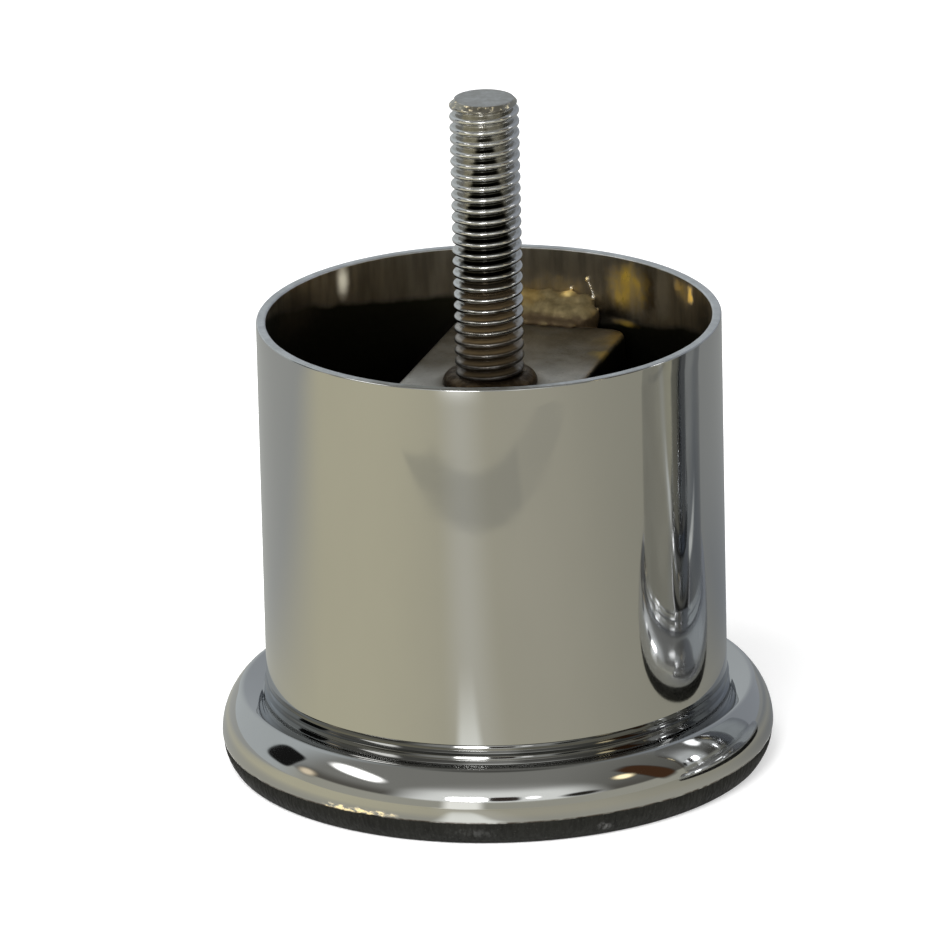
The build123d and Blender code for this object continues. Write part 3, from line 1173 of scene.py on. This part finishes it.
def stud_finish(tree, shader, looks):
    """Plated thread: bright crests, painted dark reflection in the roots on one side, darker and browner
    towards the bar, and a sawn tip with painted glints on its chamfer.
    """
    here = use_group(tree, "Round Place")
    height = here["Height"]
    hollow = remap(tree, here["Radius"], 4.66, 4.4)
    tarnish = times(tree, hollow, remap(tree, mottle(tree, 1.1, 0.2, 0.7), 0, 1, 0.4, 1.0))
    base = layer(tree, looks.stud, tarnish, (0.30, 0.28, 0.23), 0.5)
    # Painted dark reflection: roots and flanks inside the crests darkened over a span of turns round -73
    # degrees that widens downwards, black higher up and brown lower down
    gap = size_of(tree, calc(tree, "WRAP", total(tree, here["Turn"], 73.1), 180, -180))
    reach = calc(tree, "MINIMUM", calc(tree, "MULTIPLY_ADD", height, -2.3, 220.0), 56.0)
    facing = remap(tree, minus(tree, gap, reach), -5.0, 5.0, 1.0, 0.0)
    edge = remap(tree, height, 86.0, 73.0, 4.46, 4.69)
    inside = remap(tree, minus(tree, here["Radius"], edge), 0.05, -0.05)
    painted_dark_roots = times(tree, facing, inside, remap(tree, height, 90.9, 88.9))
    dark_root_tone = blend(tree, remap(tree, height, 72.0, 66.0), (0.035, 0.034, 0.026), (0.085, 0.055, 0.02))
    base = layer(tree, base, painted_dark_roots, dark_root_tone, 0.93)
    # Darker and browner towards the bottom all round; in the roots over the same span of turns it continues
    # the painted dark reflection
    lower_darkening = times(tree, remap(tree, height, 70.5, 63.0), hollow, facing)
    lower_darkening = most(tree, lower_darkening, times(tree, remap(tree, height, 66.5, 57.5), 0.93))
    lower_darkening = times(tree, lower_darkening, remap(tree, mottle(tree, 1.8, 0.2, 0.7), 0, 1, 0.75, 1.0))
    brown = blend(tree, remap(tree, height, 60.5, 55.5), (0.095, 0.066, 0.031), (0.03, 0.021, 0.010))
    base = layer(tree, base, lower_darkening, brown, 0.95)
    chamfer = times(tree, remap(tree, height, 93.96, 93.9), remap(tree, height, 93.0, 93.25))
    # Painted glints: bright gold spots on the chamfer, with less metal so that they show as lit
    painted_glints = times(tree, chamfer, mottle(tree, 0.6, 0.52, 0.74, 1.0, 4.0, 3.0))
    base = layer(tree, base, chamfer, (0.34, 0.31, 0.24), 0.75)
    base = layer(tree, base, painted_glints, (1.0, 0.86, 0.56))
    plain = most(tree, times(tree, lower_darkening, hollow, 0.8), times(tree, painted_glints, 0.5))
    worn = remap(tree, mottle(tree, 0.9, 0.3, 0.7, 1.0, 4.0), 0, 1, 0.08, 0.16)
    sawn = remap(tree, height, 93.93, 93.97, 0.0, 0.3)
    feed(tree, shader, {
        "Base Color": base,
        "Metallic": minus(tree, 1.0, plain),
        "Roughness": total(tree, worn, times(tree, lower_darkening, 0.32), sawn),
    })
    bump(tree, shader, mottle(tree, 0.5, 0.2, 0.8, 1.0, 4.0), 0.012 * MM)


def weld_finish(tree, shader, looks):
    """Frozen weld metal: yellow-brown scale up high, a painted gold glint, and dark rust on its lower part.
    """
    here = use_group(tree, "Round Place")
    cloud = mottle(tree, 1.7, 0.3, 0.7, 1.0, 5.0)
    base = blend(tree, cloud, looks.weld, scaled(looks.weld, 0.6))
    gold = patches(tree, ((95.3, 56.6, 5.5, 1.3, 0.9, 0.5, 1.0), (85.0, 57.2, 4.0, 1.2, 0.9, 0.5, 1.0)))
    base = layer(tree, base, gold, (0.46, 0.29, 0.06), 0.35)
    # Painted highlight: a bright gold glint on the weld's upper part
    painted_gold_glint = patch(tree, 84.9, 57.2, 2.8, 0.75, 0.9, 0.4)
    base = layer(tree, base, painted_gold_glint, (1.0, 0.76, 0.30))
    rust = times(tree, remap(tree, here["Height"], 55.3, 54.3), mottle(tree, 1.1, 0.15, 0.45))
    base = layer(tree, base, rust, (0.085, 0.055, 0.03), 0.85)
    feed(tree, shader, {
        "Base Color": base,
        "Metallic": 0.7,
        "Roughness": remap(tree, cloud, 0, 1, 0.42, 0.6),
    })
    bump(tree, shader, mottle(tree, 0.9, 0.2, 0.8, 1.0, 4.0), 0.05 * MM)


def spatter_finish(tree, shader, looks):
    """Shiny frozen droplets of weld metal."""
    base = blend(tree, mottle(tree, 1.5), (0.84, 0.82, 0.76), (0.80, 0.62, 0.30))
    feed(tree, shader, {"Base Color": base, "Metallic": 0.8, "Roughness": 0.22})


def braze_finish(tree, shader, looks):
    """Ring of braze, dark brown with flux."""
    cloud = mottle(tree, 1.2, 0.3, 0.7, 1.0, 5.0)
    feed(tree, shader, {
        "Base Color": blend(tree, cloud, (0.10, 0.07, 0.04), (0.045, 0.03, 0.017)),
        "Metallic": 1.0,
        "Roughness": remap(tree, cloud, 0, 1, 0.3, 0.5),
    })
    bump(tree, shader, mottle(tree, 0.5, 0.2, 0.8, 1.0, 6.0), 0.05 * MM)


def second_leg_finish(tree, shader, looks):
    """Plating of the second leg, a little duller than the first one's."""
    here = use_group(tree, "Round Place")
    smears = mottle(tree, 9.0, 0.3, 0.7, 1.0, 4.0)
    feed(tree, shader, {
        "Base Color": blend(tree, smears, (0.62, 0.635, 0.66), (0.56, 0.57, 0.59)),
        "Metallic": remap(tree, here["Height"], 6.0, 14.0, 0.92, 1.0),
        "Roughness": 0.05,
    })


finish_makers = {
    "Chrome plate": chrome_finish,
    "Ground rim": rim_finish,
    "Tube bore": bore_finish,
    "Pad rubber": rubber_finish,
    "Bar steel": bar_finish,
    "Stud plating": stud_finish,
    "Braze ring": braze_finish,
    "Weld metal": weld_finish,
    "Weld spatter": spatter_finish,
    "Second leg plating": second_leg_finish,
}


def finish(name):
    """The named material, made on first use."""
    if name not in bpy.data.materials:
        build_groups()
        _, tree, shader, _ = new_tree(name, "ShaderNodeBsdfPrincipled")
        finish_makers[name](tree, shader, bpy.context.scene.leg_finishes)
    return bpy.data.materials[name]


# Studio


def toward(azimuth, elevation, distance):
    """Point at an azimuth from the front, an elevation and a distance, in the studio's own turn."""
    turn = radians(azimuth) + bpy.context.scene.leg_studio.studio_turn
    level = cos(radians(elevation)) * distance
    return Vector((sin(turn) * level, -cos(turn) * level, sin(radians(elevation)) * distance))


def only_in_reflections(card):
    """The card shows in polished metal and nowhere else."""
    for kind in ("camera", "diffuse", "transmission", "volume_scatter", "shadow"):
        setattr(card, "visible_" + kind, False)


def soft_edges(tree, glow, output, strength, softness, corner):
    """Rounds a card's corners and fades its glow towards its edge, where softness is the share that fades."""
    spot = add_node(tree, "ShaderNodeTexCoord").outputs["UV"]
    parts = add_node(tree, "ShaderNodeSeparateXYZ", None, {0: spot}).outputs
    across = size_of(tree, calc(tree, "MULTIPLY_ADD", parts["X"], 2, -1))
    up = size_of(tree, calc(tree, "MULTIPLY_ADD", parts["Y"], 2, -1))
    both = total(tree, calc(tree, "POWER", across, corner), calc(tree, "POWER", up, corner))
    fade = remap(tree, calc(tree, "POWER", both, 1 / corner), 1 - softness, 1.0, 1.0, 0.0)
    feed(tree, glow, {"Strength": times(tree, fade, strength)})
    clear = tree.nodes.new("ShaderNodeBsdfTransparent")
    mix = add_node(tree, "ShaderNodeMixShader", None, {0: fade, 1: clear.outputs[0], 2: glow.outputs[0]})
    feed(tree, output, {"Surface": mix.outputs[0]})


def studio_card(name, azimuth, elevation, wide, high, tilt, colour, strength, softness, corner):
    """Rounded card that faces the leg. wide and high are the angles it fills, in degrees."""
    material, tree, glow, output = new_tree(name, "ShaderNodeEmission")
    glow.inputs["Color"].default_value = opaque(colour)
    soft_edges(tree, glow, output, strength, softness, corner)
    half_wide = tan(radians(wide / 2)) * card_distance
    half_high = tan(radians(high / 2)) * card_distance
    middle = toward(azimuth, elevation, card_distance)
    turned = (-middle).to_track_quat("Z", "Y") @ Quaternion((0, 0, 1), radians(tilt))
    bm = bmesh.new()
    uv = bm.loops.layers.uv.new("UVMap")
    corners = []
    for side, end in ((-1, -1), (1, -1), (1, 1), (-1, 1)):
        corners.append(bm.verts.new(middle + turned @ Vector((side * half_wide, end * half_high, 0))))
    face = bm.faces.new(corners)
    for loop, spot in zip(face.loops, ((0, 0), (1, 0), (1, 1), (0, 1))):
        loop[uv].uv = spot
    only_in_reflections(link_mesh(name, bm, [material]))


def build_tent():
    """Dull room round the leg as polished metal sees it: grey ahead, bluish behind."""
    material, tree, glow, _ = new_tree("Studio room", "ShaderNodeEmission")
    unit = vector_math(tree, "NORMALIZE", object_place(tree))[0]
    parts = turned_parts(tree, unit, -bpy.context.scene.leg_studio.studio_turn)
    right = parts["X"]
    back = parts["Y"]
    height = calc(tree, "DEGREES", calc(tree, "ARCSINE", parts["Z"]))
    turn = calc(tree, "DEGREES", calc(tree, "ARCTAN2", right, times(tree, back, -1)))
    pale = blend(tree, remap(tree, height, 25.0, 40.0), (1.08, 1.10, 1.07), (0.42, 0.42, 0.40))
    grey = layer(tree, pale, remap(tree, height, 38.0, 52.0), (0.275, 0.275, 0.25))
    high_side = blend(tree, remap(tree, right, 0.2, 0.95), (0.28, 0.28, 0.26), (0.155, 0.155, 0.14))
    side = blend(tree, remap(tree, height, 14.0, 26.0), (0.13, 0.125, 0.11), high_side)
    ahead = layer(tree, grey, remap(tree, back, -0.86, -0.62), side)
    glare = remap(tree, size_of(tree, total(tree, turn, 15.0)), 5.0, 10.0, 1.0, 0.0)
    table = blend(tree, glare, (0.47, 0.465, 0.40), (1.35, 1.35, 1.27))
    ahead = layer(tree, table, remap(tree, height, 10.5, 13.5), ahead)
    ahead = layer(tree, ahead, remap(tree, height, 64.0, 84.0), (0.10, 0.10, 0.09))
    rear = blend(tree, remap(tree, right, -0.5, 0.5), (0.56, 0.60, 0.61), (0.33, 0.355, 0.39))
    behind = layer(tree, rear, remap(tree, height, 42.0, 80.0), (0.20, 0.21, 0.20))
    feed(tree, glow, {"Color": layer(tree, ahead, remap(tree, back, -0.12, 0.32), behind), "Strength": 1.0})
    radius = 3.4
    steps = 24
    outline = []
    for step in range(steps):
        lift = radians(-1 + 91 * step / steps)
        outline.append((radius * cos(lift), radius * sin(lift)))
    outline.append((0, radius))
    bm = bmesh.new()
    lathe(bm, outline, 64)
    only_in_reflections(link_mesh("studio_room", bm, [material]))


def build_floor_card():
    """Olive-grey table top as polished metal sees it, with a painted glare streak and two faint straight
    shadows.
    """
    material, tree, glow, _ = new_tree("Studio table", "ShaderNodeEmission")
    place = object_place(tree)
    parts = turned_parts(tree, place, -bpy.context.scene.leg_studio.studio_turn)
    right = times(tree, parts["X"], 1000)
    back = times(tree, parts["Y"], 1000)
    turn = calc(tree, "DEGREES", calc(tree, "ARCTAN2", right, times(tree, back, -1)))
    away = times(tree, vector_math(tree, "LENGTH", place)["Value"], 1000)
    base = blend(tree, remap(tree, turn, -60.0, 20.0), (0.645, 0.615, 0.455), (0.515, 0.495, 0.40))
    base = layer(tree, base, remap(tree, turn, 10.0, 80.0), (0.40, 0.39, 0.32))
    close_by = blend(tree, remap(tree, turn, -110.0, -80.0), (0.38, 0.39, 0.375), (0.46, 0.455, 0.395))
    close_by = layer(tree, close_by, remap(tree, turn, 50.0, 105.0), (0.20, 0.205, 0.205))
    base = layer(tree, base, remap(tree, away, 43.0, 60.0, 1.0, 0.0), close_by)
    shaded = blend(tree, remap(tree, away, 60.0, 170.0), (0.22, 0.235, 0.25), (0.31, 0.32, 0.315))
    rear = blend(tree, remap(tree, right, -30.0, 40.0), (0.44, 0.45, 0.43), shaded)
    base = layer(tree, base, remap(tree, back, -20.0, 60.0), rear)
    # Painted glare of a lamp on the table: a soft bright streak running away in front, brighter far off and
    # close to the leg
    lean = minus(tree, right, calc(tree, "MULTIPLY_ADD", back, 0.31, 10.9))
    ahead = most(tree, times(tree, back, -1), 10.0)
    spread = size_of(tree, calc(tree, "DIVIDE", lean, times(tree, ahead, 0.15)))
    bell = remap(tree, spread, 0.0, 1.7, 1.0, 0.0)
    streak = times(tree, bell, remap(tree, back, -10.0, -40.0))
    base = layer(tree, base, streak, (0.78, 0.78, 0.72), 0.42)
    glare = times(tree, bell, remap(tree, away, 200.0, 420.0))
    base = layer(tree, base, glare, (1.35, 1.35, 1.27))
    offset = size_of(tree, total(tree, lean, 3.2))
    painted_near_glare = times(tree, remap(tree, away, 100.0, 46.0), remap(tree, offset, 3.0, 7.0, 1.0, 0.0))
    base = layer(tree, base, painted_near_glare, (1.25, 1.27, 1.2), 0.9)
    # Two straight shadows: how far the point lies past each of their edges
    near_edge = total(tree, calc(tree, "MULTIPLY_ADD", right, 0.12, back), 153.0)
    far_edge = total(tree, calc(tree, "MULTIPLY_ADD", right, 0.17, back), 183.5)
    left_edge = total(tree, calc(tree, "MULTIPLY_ADD", right, 0.73, back), 231.0)
    painted_shade = times(
        tree,
        remap(tree, near_edge, -3.0, 1.0, 1.0, 0.0),
        remap(tree, far_edge, -1.0, 4.0),
        remap(tree, left_edge, -1.0, 5.0),
        times(tree, remap(tree, right, 32.0, 42.0, 1.0, 0.5), remap(tree, right, 95.0, 125.0, 1.0, 0.0)),
    )
    base = layer(tree, base, painted_shade, (0.22, 0.225, 0.215), 0.36)
    feed(tree, glow, {"Color": base, "Strength": 1.0})
    height = 0.15 * MM
    bm = bmesh.new()
    lathe(bm, [(0.0388, height), (0.06, height), (0.2, height), (3.5, height)], 96)
    only_in_reflections(link_mesh("studio_table", bm, [material]))


def build_neighbour(sizes):
    """A second leg beside the first, there only for the dark and bright streaks it leaves in the chrome."""
    outline, outside = flange_section(sizes)
    pad_foot = (sizes.flange_radius - pad_foot_inset, 0.6 * MM)
    pad_side = (sizes.flange_radius - 0.3 * MM, sizes.pad_thickness * 0.8)
    rim = [(sizes.tube_radius, sizes.rim_height), (sizes.tube_radius - sizes.tube_wall, sizes.rim_height)]
    profile = [pad_foot, pad_side] + outline[:outside] + rim
    bm = bmesh.new()
    lathe(bm, profile, 192, [1, 1] + [0] * (len(profile) - 3))
    turn = Matrix.Rotation(bpy.context.scene.leg_studio.studio_turn, 4, "Z")
    bmesh.ops.transform(bm, matrix=turn @ Matrix.Translation(second_leg_place), verts=bm.verts)
    looks = [finish("Second leg plating"), finish("Pad rubber")]
    only_in_reflections(link_mesh("studio_second_leg", bm, looks, 38))


def seen_by_eye_or_metal(tree):
    """1 for rays from the camera, from gloss and through glass, 0 for the light that falls on the leg."""
    path = tree.nodes.new("ShaderNodeLightPath").outputs
    return most(tree, path["Is Camera Ray"], path["Is Glossy Ray"], path["Is Transmission Ray"])


def build_floor(studio):
    """Plain pale floor that keeps the leg's shadow and looks white to the camera and to polished metal."""
    material, tree, shader, _ = new_tree("Studio floor", "ShaderNodeBsdfPrincipled")
    feed(tree, shader, {
        "Base Color": opaque(studio.floor),
        "Roughness": 0.9,
        "Specular IOR Level": 0.0,
        "Emission Color": (1, 1, 1, 1),
        "Emission Strength": times(tree, seen_by_eye_or_metal(tree), 0.3),
    })
    bm = bmesh.new()
    lathe(bm, [(0, 0), (1, 0), (9, 0)], 64)
    link_mesh("studio_floor", bm, [material])


def build_world(studio):
    """White background for the eye and for metal, plain ambient light for everything else."""
    world = bpy.data.worlds.new("Studio")
    bpy.context.scene.world = world
    world.use_nodes = True
    tree = world.node_tree
    tree.nodes.clear()
    strength = total(tree, studio.ambient, times(tree, seen_by_eye_or_metal(tree), 1 - studio.ambient))
    background = add_node(tree, "ShaderNodeBackground", None, {"Color": (1, 1, 1, 1), "Strength": strength})
    output = tree.nodes.new("ShaderNodeOutputWorld")
    tree.links.new(background.outputs[0], output.inputs["Surface"])


def soft_lamp(name, azimuth, elevation, distance, size, power):
    """Square soft lamp that faces the leg. Polished metal sees the studio's cards in its place."""
    data = bpy.data.lights.new(name, "AREA")
    data.shape = "SQUARE"
    data.size = size
    data.energy = power
    lamp = bpy.data.objects.new(name, data)
    bpy.context.scene.collection.objects.link(lamp)
    lamp.location = toward(azimuth, elevation, distance)
    lamp.rotation_euler = (-lamp.location).to_track_quat("-Z", "Y").to_euler()
    lamp.visible_glossy = False


def build_camera(studio):
    """Camera at the photograph's angle, distance and lens."""
    data = bpy.data.cameras.new("Camera")
    data.lens = studio.lens
    data.sensor_width = 36.0
    data.clip_end = 50.0
    camera = bpy.data.objects.new("Camera", data)
    bpy.context.scene.collection.objects.link(camera)
    level = cos(studio.elevation)
    back = Vector((sin(studio.azimuth) * level, -cos(studio.azimuth) * level, sin(studio.elevation)))
    camera.location = Vector(studio.aim) + back * studio.distance
    aimed = (-back).to_track_quat("-Z", "Y") @ Quaternion((0, 0, 1), studio.roll)
    camera.rotation_euler = aimed.to_euler()
    bpy.context.scene.camera = camera


# Azimuth from the front, elevation, width, height, tilt, colour, strength, softness and corner of each card
studio_cards = (
    ("card_left_lamp", -69.0, 35.5, 36.0, 15.0, 14.0, (1.0, 1.0, 0.98), 3.4, 0.5, 2.4),
    ("card_left_window", -104.0, 18.5, 19.0, 25.0, 3.0, (0.012, 0.012, 0.012), 1.0, 0.2, 4.0),
    ("card_left_glow", -87.0, 14.0, 16.0, 15.0, 0.0, (0.98, 0.84, 0.62), 1.1, 0.8, 2.0),
    ("card_front_lamp", -13.5, 17.0, 19.0, 8.5, 0.0, (1.0, 1.0, 1.0), 14.0, 0.3, 4.0),
    ("card_front_block", 2.0, 17.5, 15.0, 8.5, 0.0, (0.05, 0.04, 0.035), 1.0, 0.35, 4.0),
    ("card_front_spot", 14.0, 18.0, 9.5, 6.5, 0.0, (1.0, 1.0, 1.0), 3.5, 0.6, 2.0),
    ("card_right_block", 34.0, 15.5, 22.0, 8.5, 0.0, (0.03, 0.03, 0.025), 1.0, 0.6, 2.0),
    ("card_warm_patch", 56.5, 29.0, 14.0, 12.0, 30.0, (1.0, 0.86, 0.55), 2.2, 0.7, 2.0),
    ("card_brown_board", 69.0, 25.5, 12.0, 42.0, -18.0, (0.075, 0.036, 0.018), 1.0, 0.3, 4.0),
    ("card_right_lamp", 96.0, 29.5, 12.0, 17.0, 8.0, (1.0, 1.0, 1.0), 3.6, 0.6, 2.0),
)


# Operators, one for each piece and one for the studio


class LEG_OT_build_tube(bpy.types.Operator):
    """Build the chrome plated tube with its ground rim and dull bore"""

    bl_idname = "leg.build_tube"
    bl_label = "Tube"

    def execute(self, context):
        bm = build_tube_mesh(context.scene.leg_sizes)
        make_piece("tube", bm, ["Chrome plate", "Ground rim", "Tube bore"], ["leg_tube"])
        return {"FINISHED"}


class LEG_OT_build_flange(bpy.types.Operator):
    """Build the pressed flange with its shoulder, gutter and neck rings"""

    bl_idname = "leg.build_flange"
    bl_label = "Flange"

    def execute(self, context):
        bm = build_flange_mesh(context.scene.leg_sizes)
        make_piece("flange", bm, ["Chrome plate", "Tube bore"], ["base_flange"], 34)
        return {"FINISHED"}


class LEG_OT_build_pad(bpy.types.Operator):
    """Build the rubber pad under the flange"""

    bl_idname = "leg.build_pad"
    bl_label = "Foot pad"

    def execute(self, context):
        bm = build_pad_mesh(context.scene.leg_sizes)
        make_piece("pad", bm, ["Pad rubber"], ["foot_pad"])
        return {"FINISHED"}


class LEG_OT_build_bar(bpy.types.Operator):
    """Build the sheared flat bar across the tube"""

    bl_idname = "leg.build_bar"
    bl_label = "Cross bar"

    def execute(self, context):
        make_piece("bar", build_bar_mesh(), ["Bar steel"], ["cross_bar"])
        return {"FINISHED"}


class LEG_OT_build_stud(bpy.types.Operator):
    """Build the threaded stud with its helical thread"""

    bl_idname = "leg.build_stud"
    bl_label = "Threaded stud"

    def execute(self, context):
        bm = build_stud_mesh(context.scene.leg_sizes)
        make_piece("stud", bm, ["Stud plating"], ["mounting_stud"], 60)
        return {"FINISHED"}


class LEG_OT_build_braze(bpy.types.Operator):
    """Build the ring of braze round the stud's root"""

    bl_idname = "leg.build_braze"
    bl_label = "Braze ring"

    def execute(self, context):
        make_piece("braze", build_ring_mesh(), ["Braze ring"], ["stud_braze_ring"], 60)
        return {"FINISHED"}


class LEG_OT_build_welds(bpy.types.Operator):
    """Build the two lumpy welds that hold the bar in the tube"""

    bl_idname = "leg.build_welds"
    bl_label = "Welds"

    def execute(self, context):
        beads = (
            ("weld_rear", "weld_bead_rear", 79.5, 109.0, 3),
            ("weld_front", "weld_bead_front", 258.0, 284.0, 8),
        )
        for name, node, start, end, seed in beads:
            bm = build_bead_mesh(name, start, end, seed)
            make_piece(name, bm, ["Weld metal"], [node], 80)
        return {"FINISHED"}


class LEG_OT_build_spatter(bpy.types.Operator):
    """Scatter the small beads of weld spatter beside the rear weld"""

    bl_idname = "leg.build_spatter"
    bl_label = "Weld spatter"

    def execute(self, context):
        make_piece("spatter", build_spatter_mesh(), ["Weld spatter"], [], 80)
        return {"FINISHED"}


class LEG_OT_build_studio(bpy.types.Operator):
    """Set up the camera, the lamps, the floor and the cards that polished metal mirrors"""

    bl_idname = "leg.build_studio"
    bl_label = "Studio"

    def execute(self, context):
        scene = context.scene
        studio = scene.leg_studio
        scene.view_settings.view_transform = "Standard"
        build_camera(studio)
        build_world(studio)
        build_floor(studio)
        build_tent()
        build_floor_card()
        build_neighbour(scene.leg_sizes)
        for card in studio_cards:
            studio_card(*card)
        soft_lamp("Key lamp", -35, 52, 1.6, 1.1, studio.key_power)
        soft_lamp("Fill lamp", 60, 35, 1.8, 1.2, studio.fill_power)
        return {"FINISHED"}


class LEG_PT_sidebar(bpy.types.Panel):
    """Lists the leg's builders, sizes and finishes"""

    bl_idname = "LEG_PT_sidebar"
    bl_label = "Metal Furniture Leg"
    bl_space_type = "VIEW_3D"
    bl_region_type = "UI"
    bl_category = "Leg"

    def draw(self, context):
        layout = self.layout
        for operator in builders:
            layout.operator(operator.bl_idname)
        for group in (context.scene.leg_sizes, context.scene.leg_finishes, context.scene.leg_studio):
            box = layout.box()
            for name in group.bl_rna.properties.keys():
                if name not in ("rna_type", "name"):
                    box.prop(group, name)


builders = (
    LEG_OT_build_tube,
    LEG_OT_build_flange,
    LEG_OT_build_pad,
    LEG_OT_build_bar,
    LEG_OT_build_stud,
    LEG_OT_build_braze,
    LEG_OT_build_welds,
    LEG_OT_build_spatter,
    LEG_OT_build_studio,
)
groups = (LegSizes, LegFinishes, LegStudio)


def register():
    """Makes the properties, operators and panel known to the program."""
    for group in (*groups, *builders, LEG_PT_sidebar):
        bpy.utils.register_class(group)
    bpy.types.Scene.leg_sizes = bpy.props.PointerProperty(type=LegSizes)
    bpy.types.Scene.leg_finishes = bpy.props.PointerProperty(type=LegFinishes)
    bpy.types.Scene.leg_studio = bpy.props.PointerProperty(type=LegStudio)


def unregister():
    """Takes them away again."""
    del bpy.types.Scene.leg_studio
    del bpy.types.Scene.leg_finishes
    del bpy.types.Scene.leg_sizes
    for group in reversed((*groups, *builders, LEG_PT_sidebar)):
        bpy.utils.unregister_class(group)


def main():
    """Builds every piece and the studio."""
    register()
    bpy.ops.leg.build_tube()
    bpy.ops.leg.build_flange()
    bpy.ops.leg.build_pad()
    bpy.ops.leg.build_bar()
    bpy.ops.leg.build_stud()
    bpy.ops.leg.build_braze()
    bpy.ops.leg.build_welds()
    bpy.ops.leg.build_spatter()
    bpy.ops.leg.build_studio()


if __name__ == "__main__":
    main()
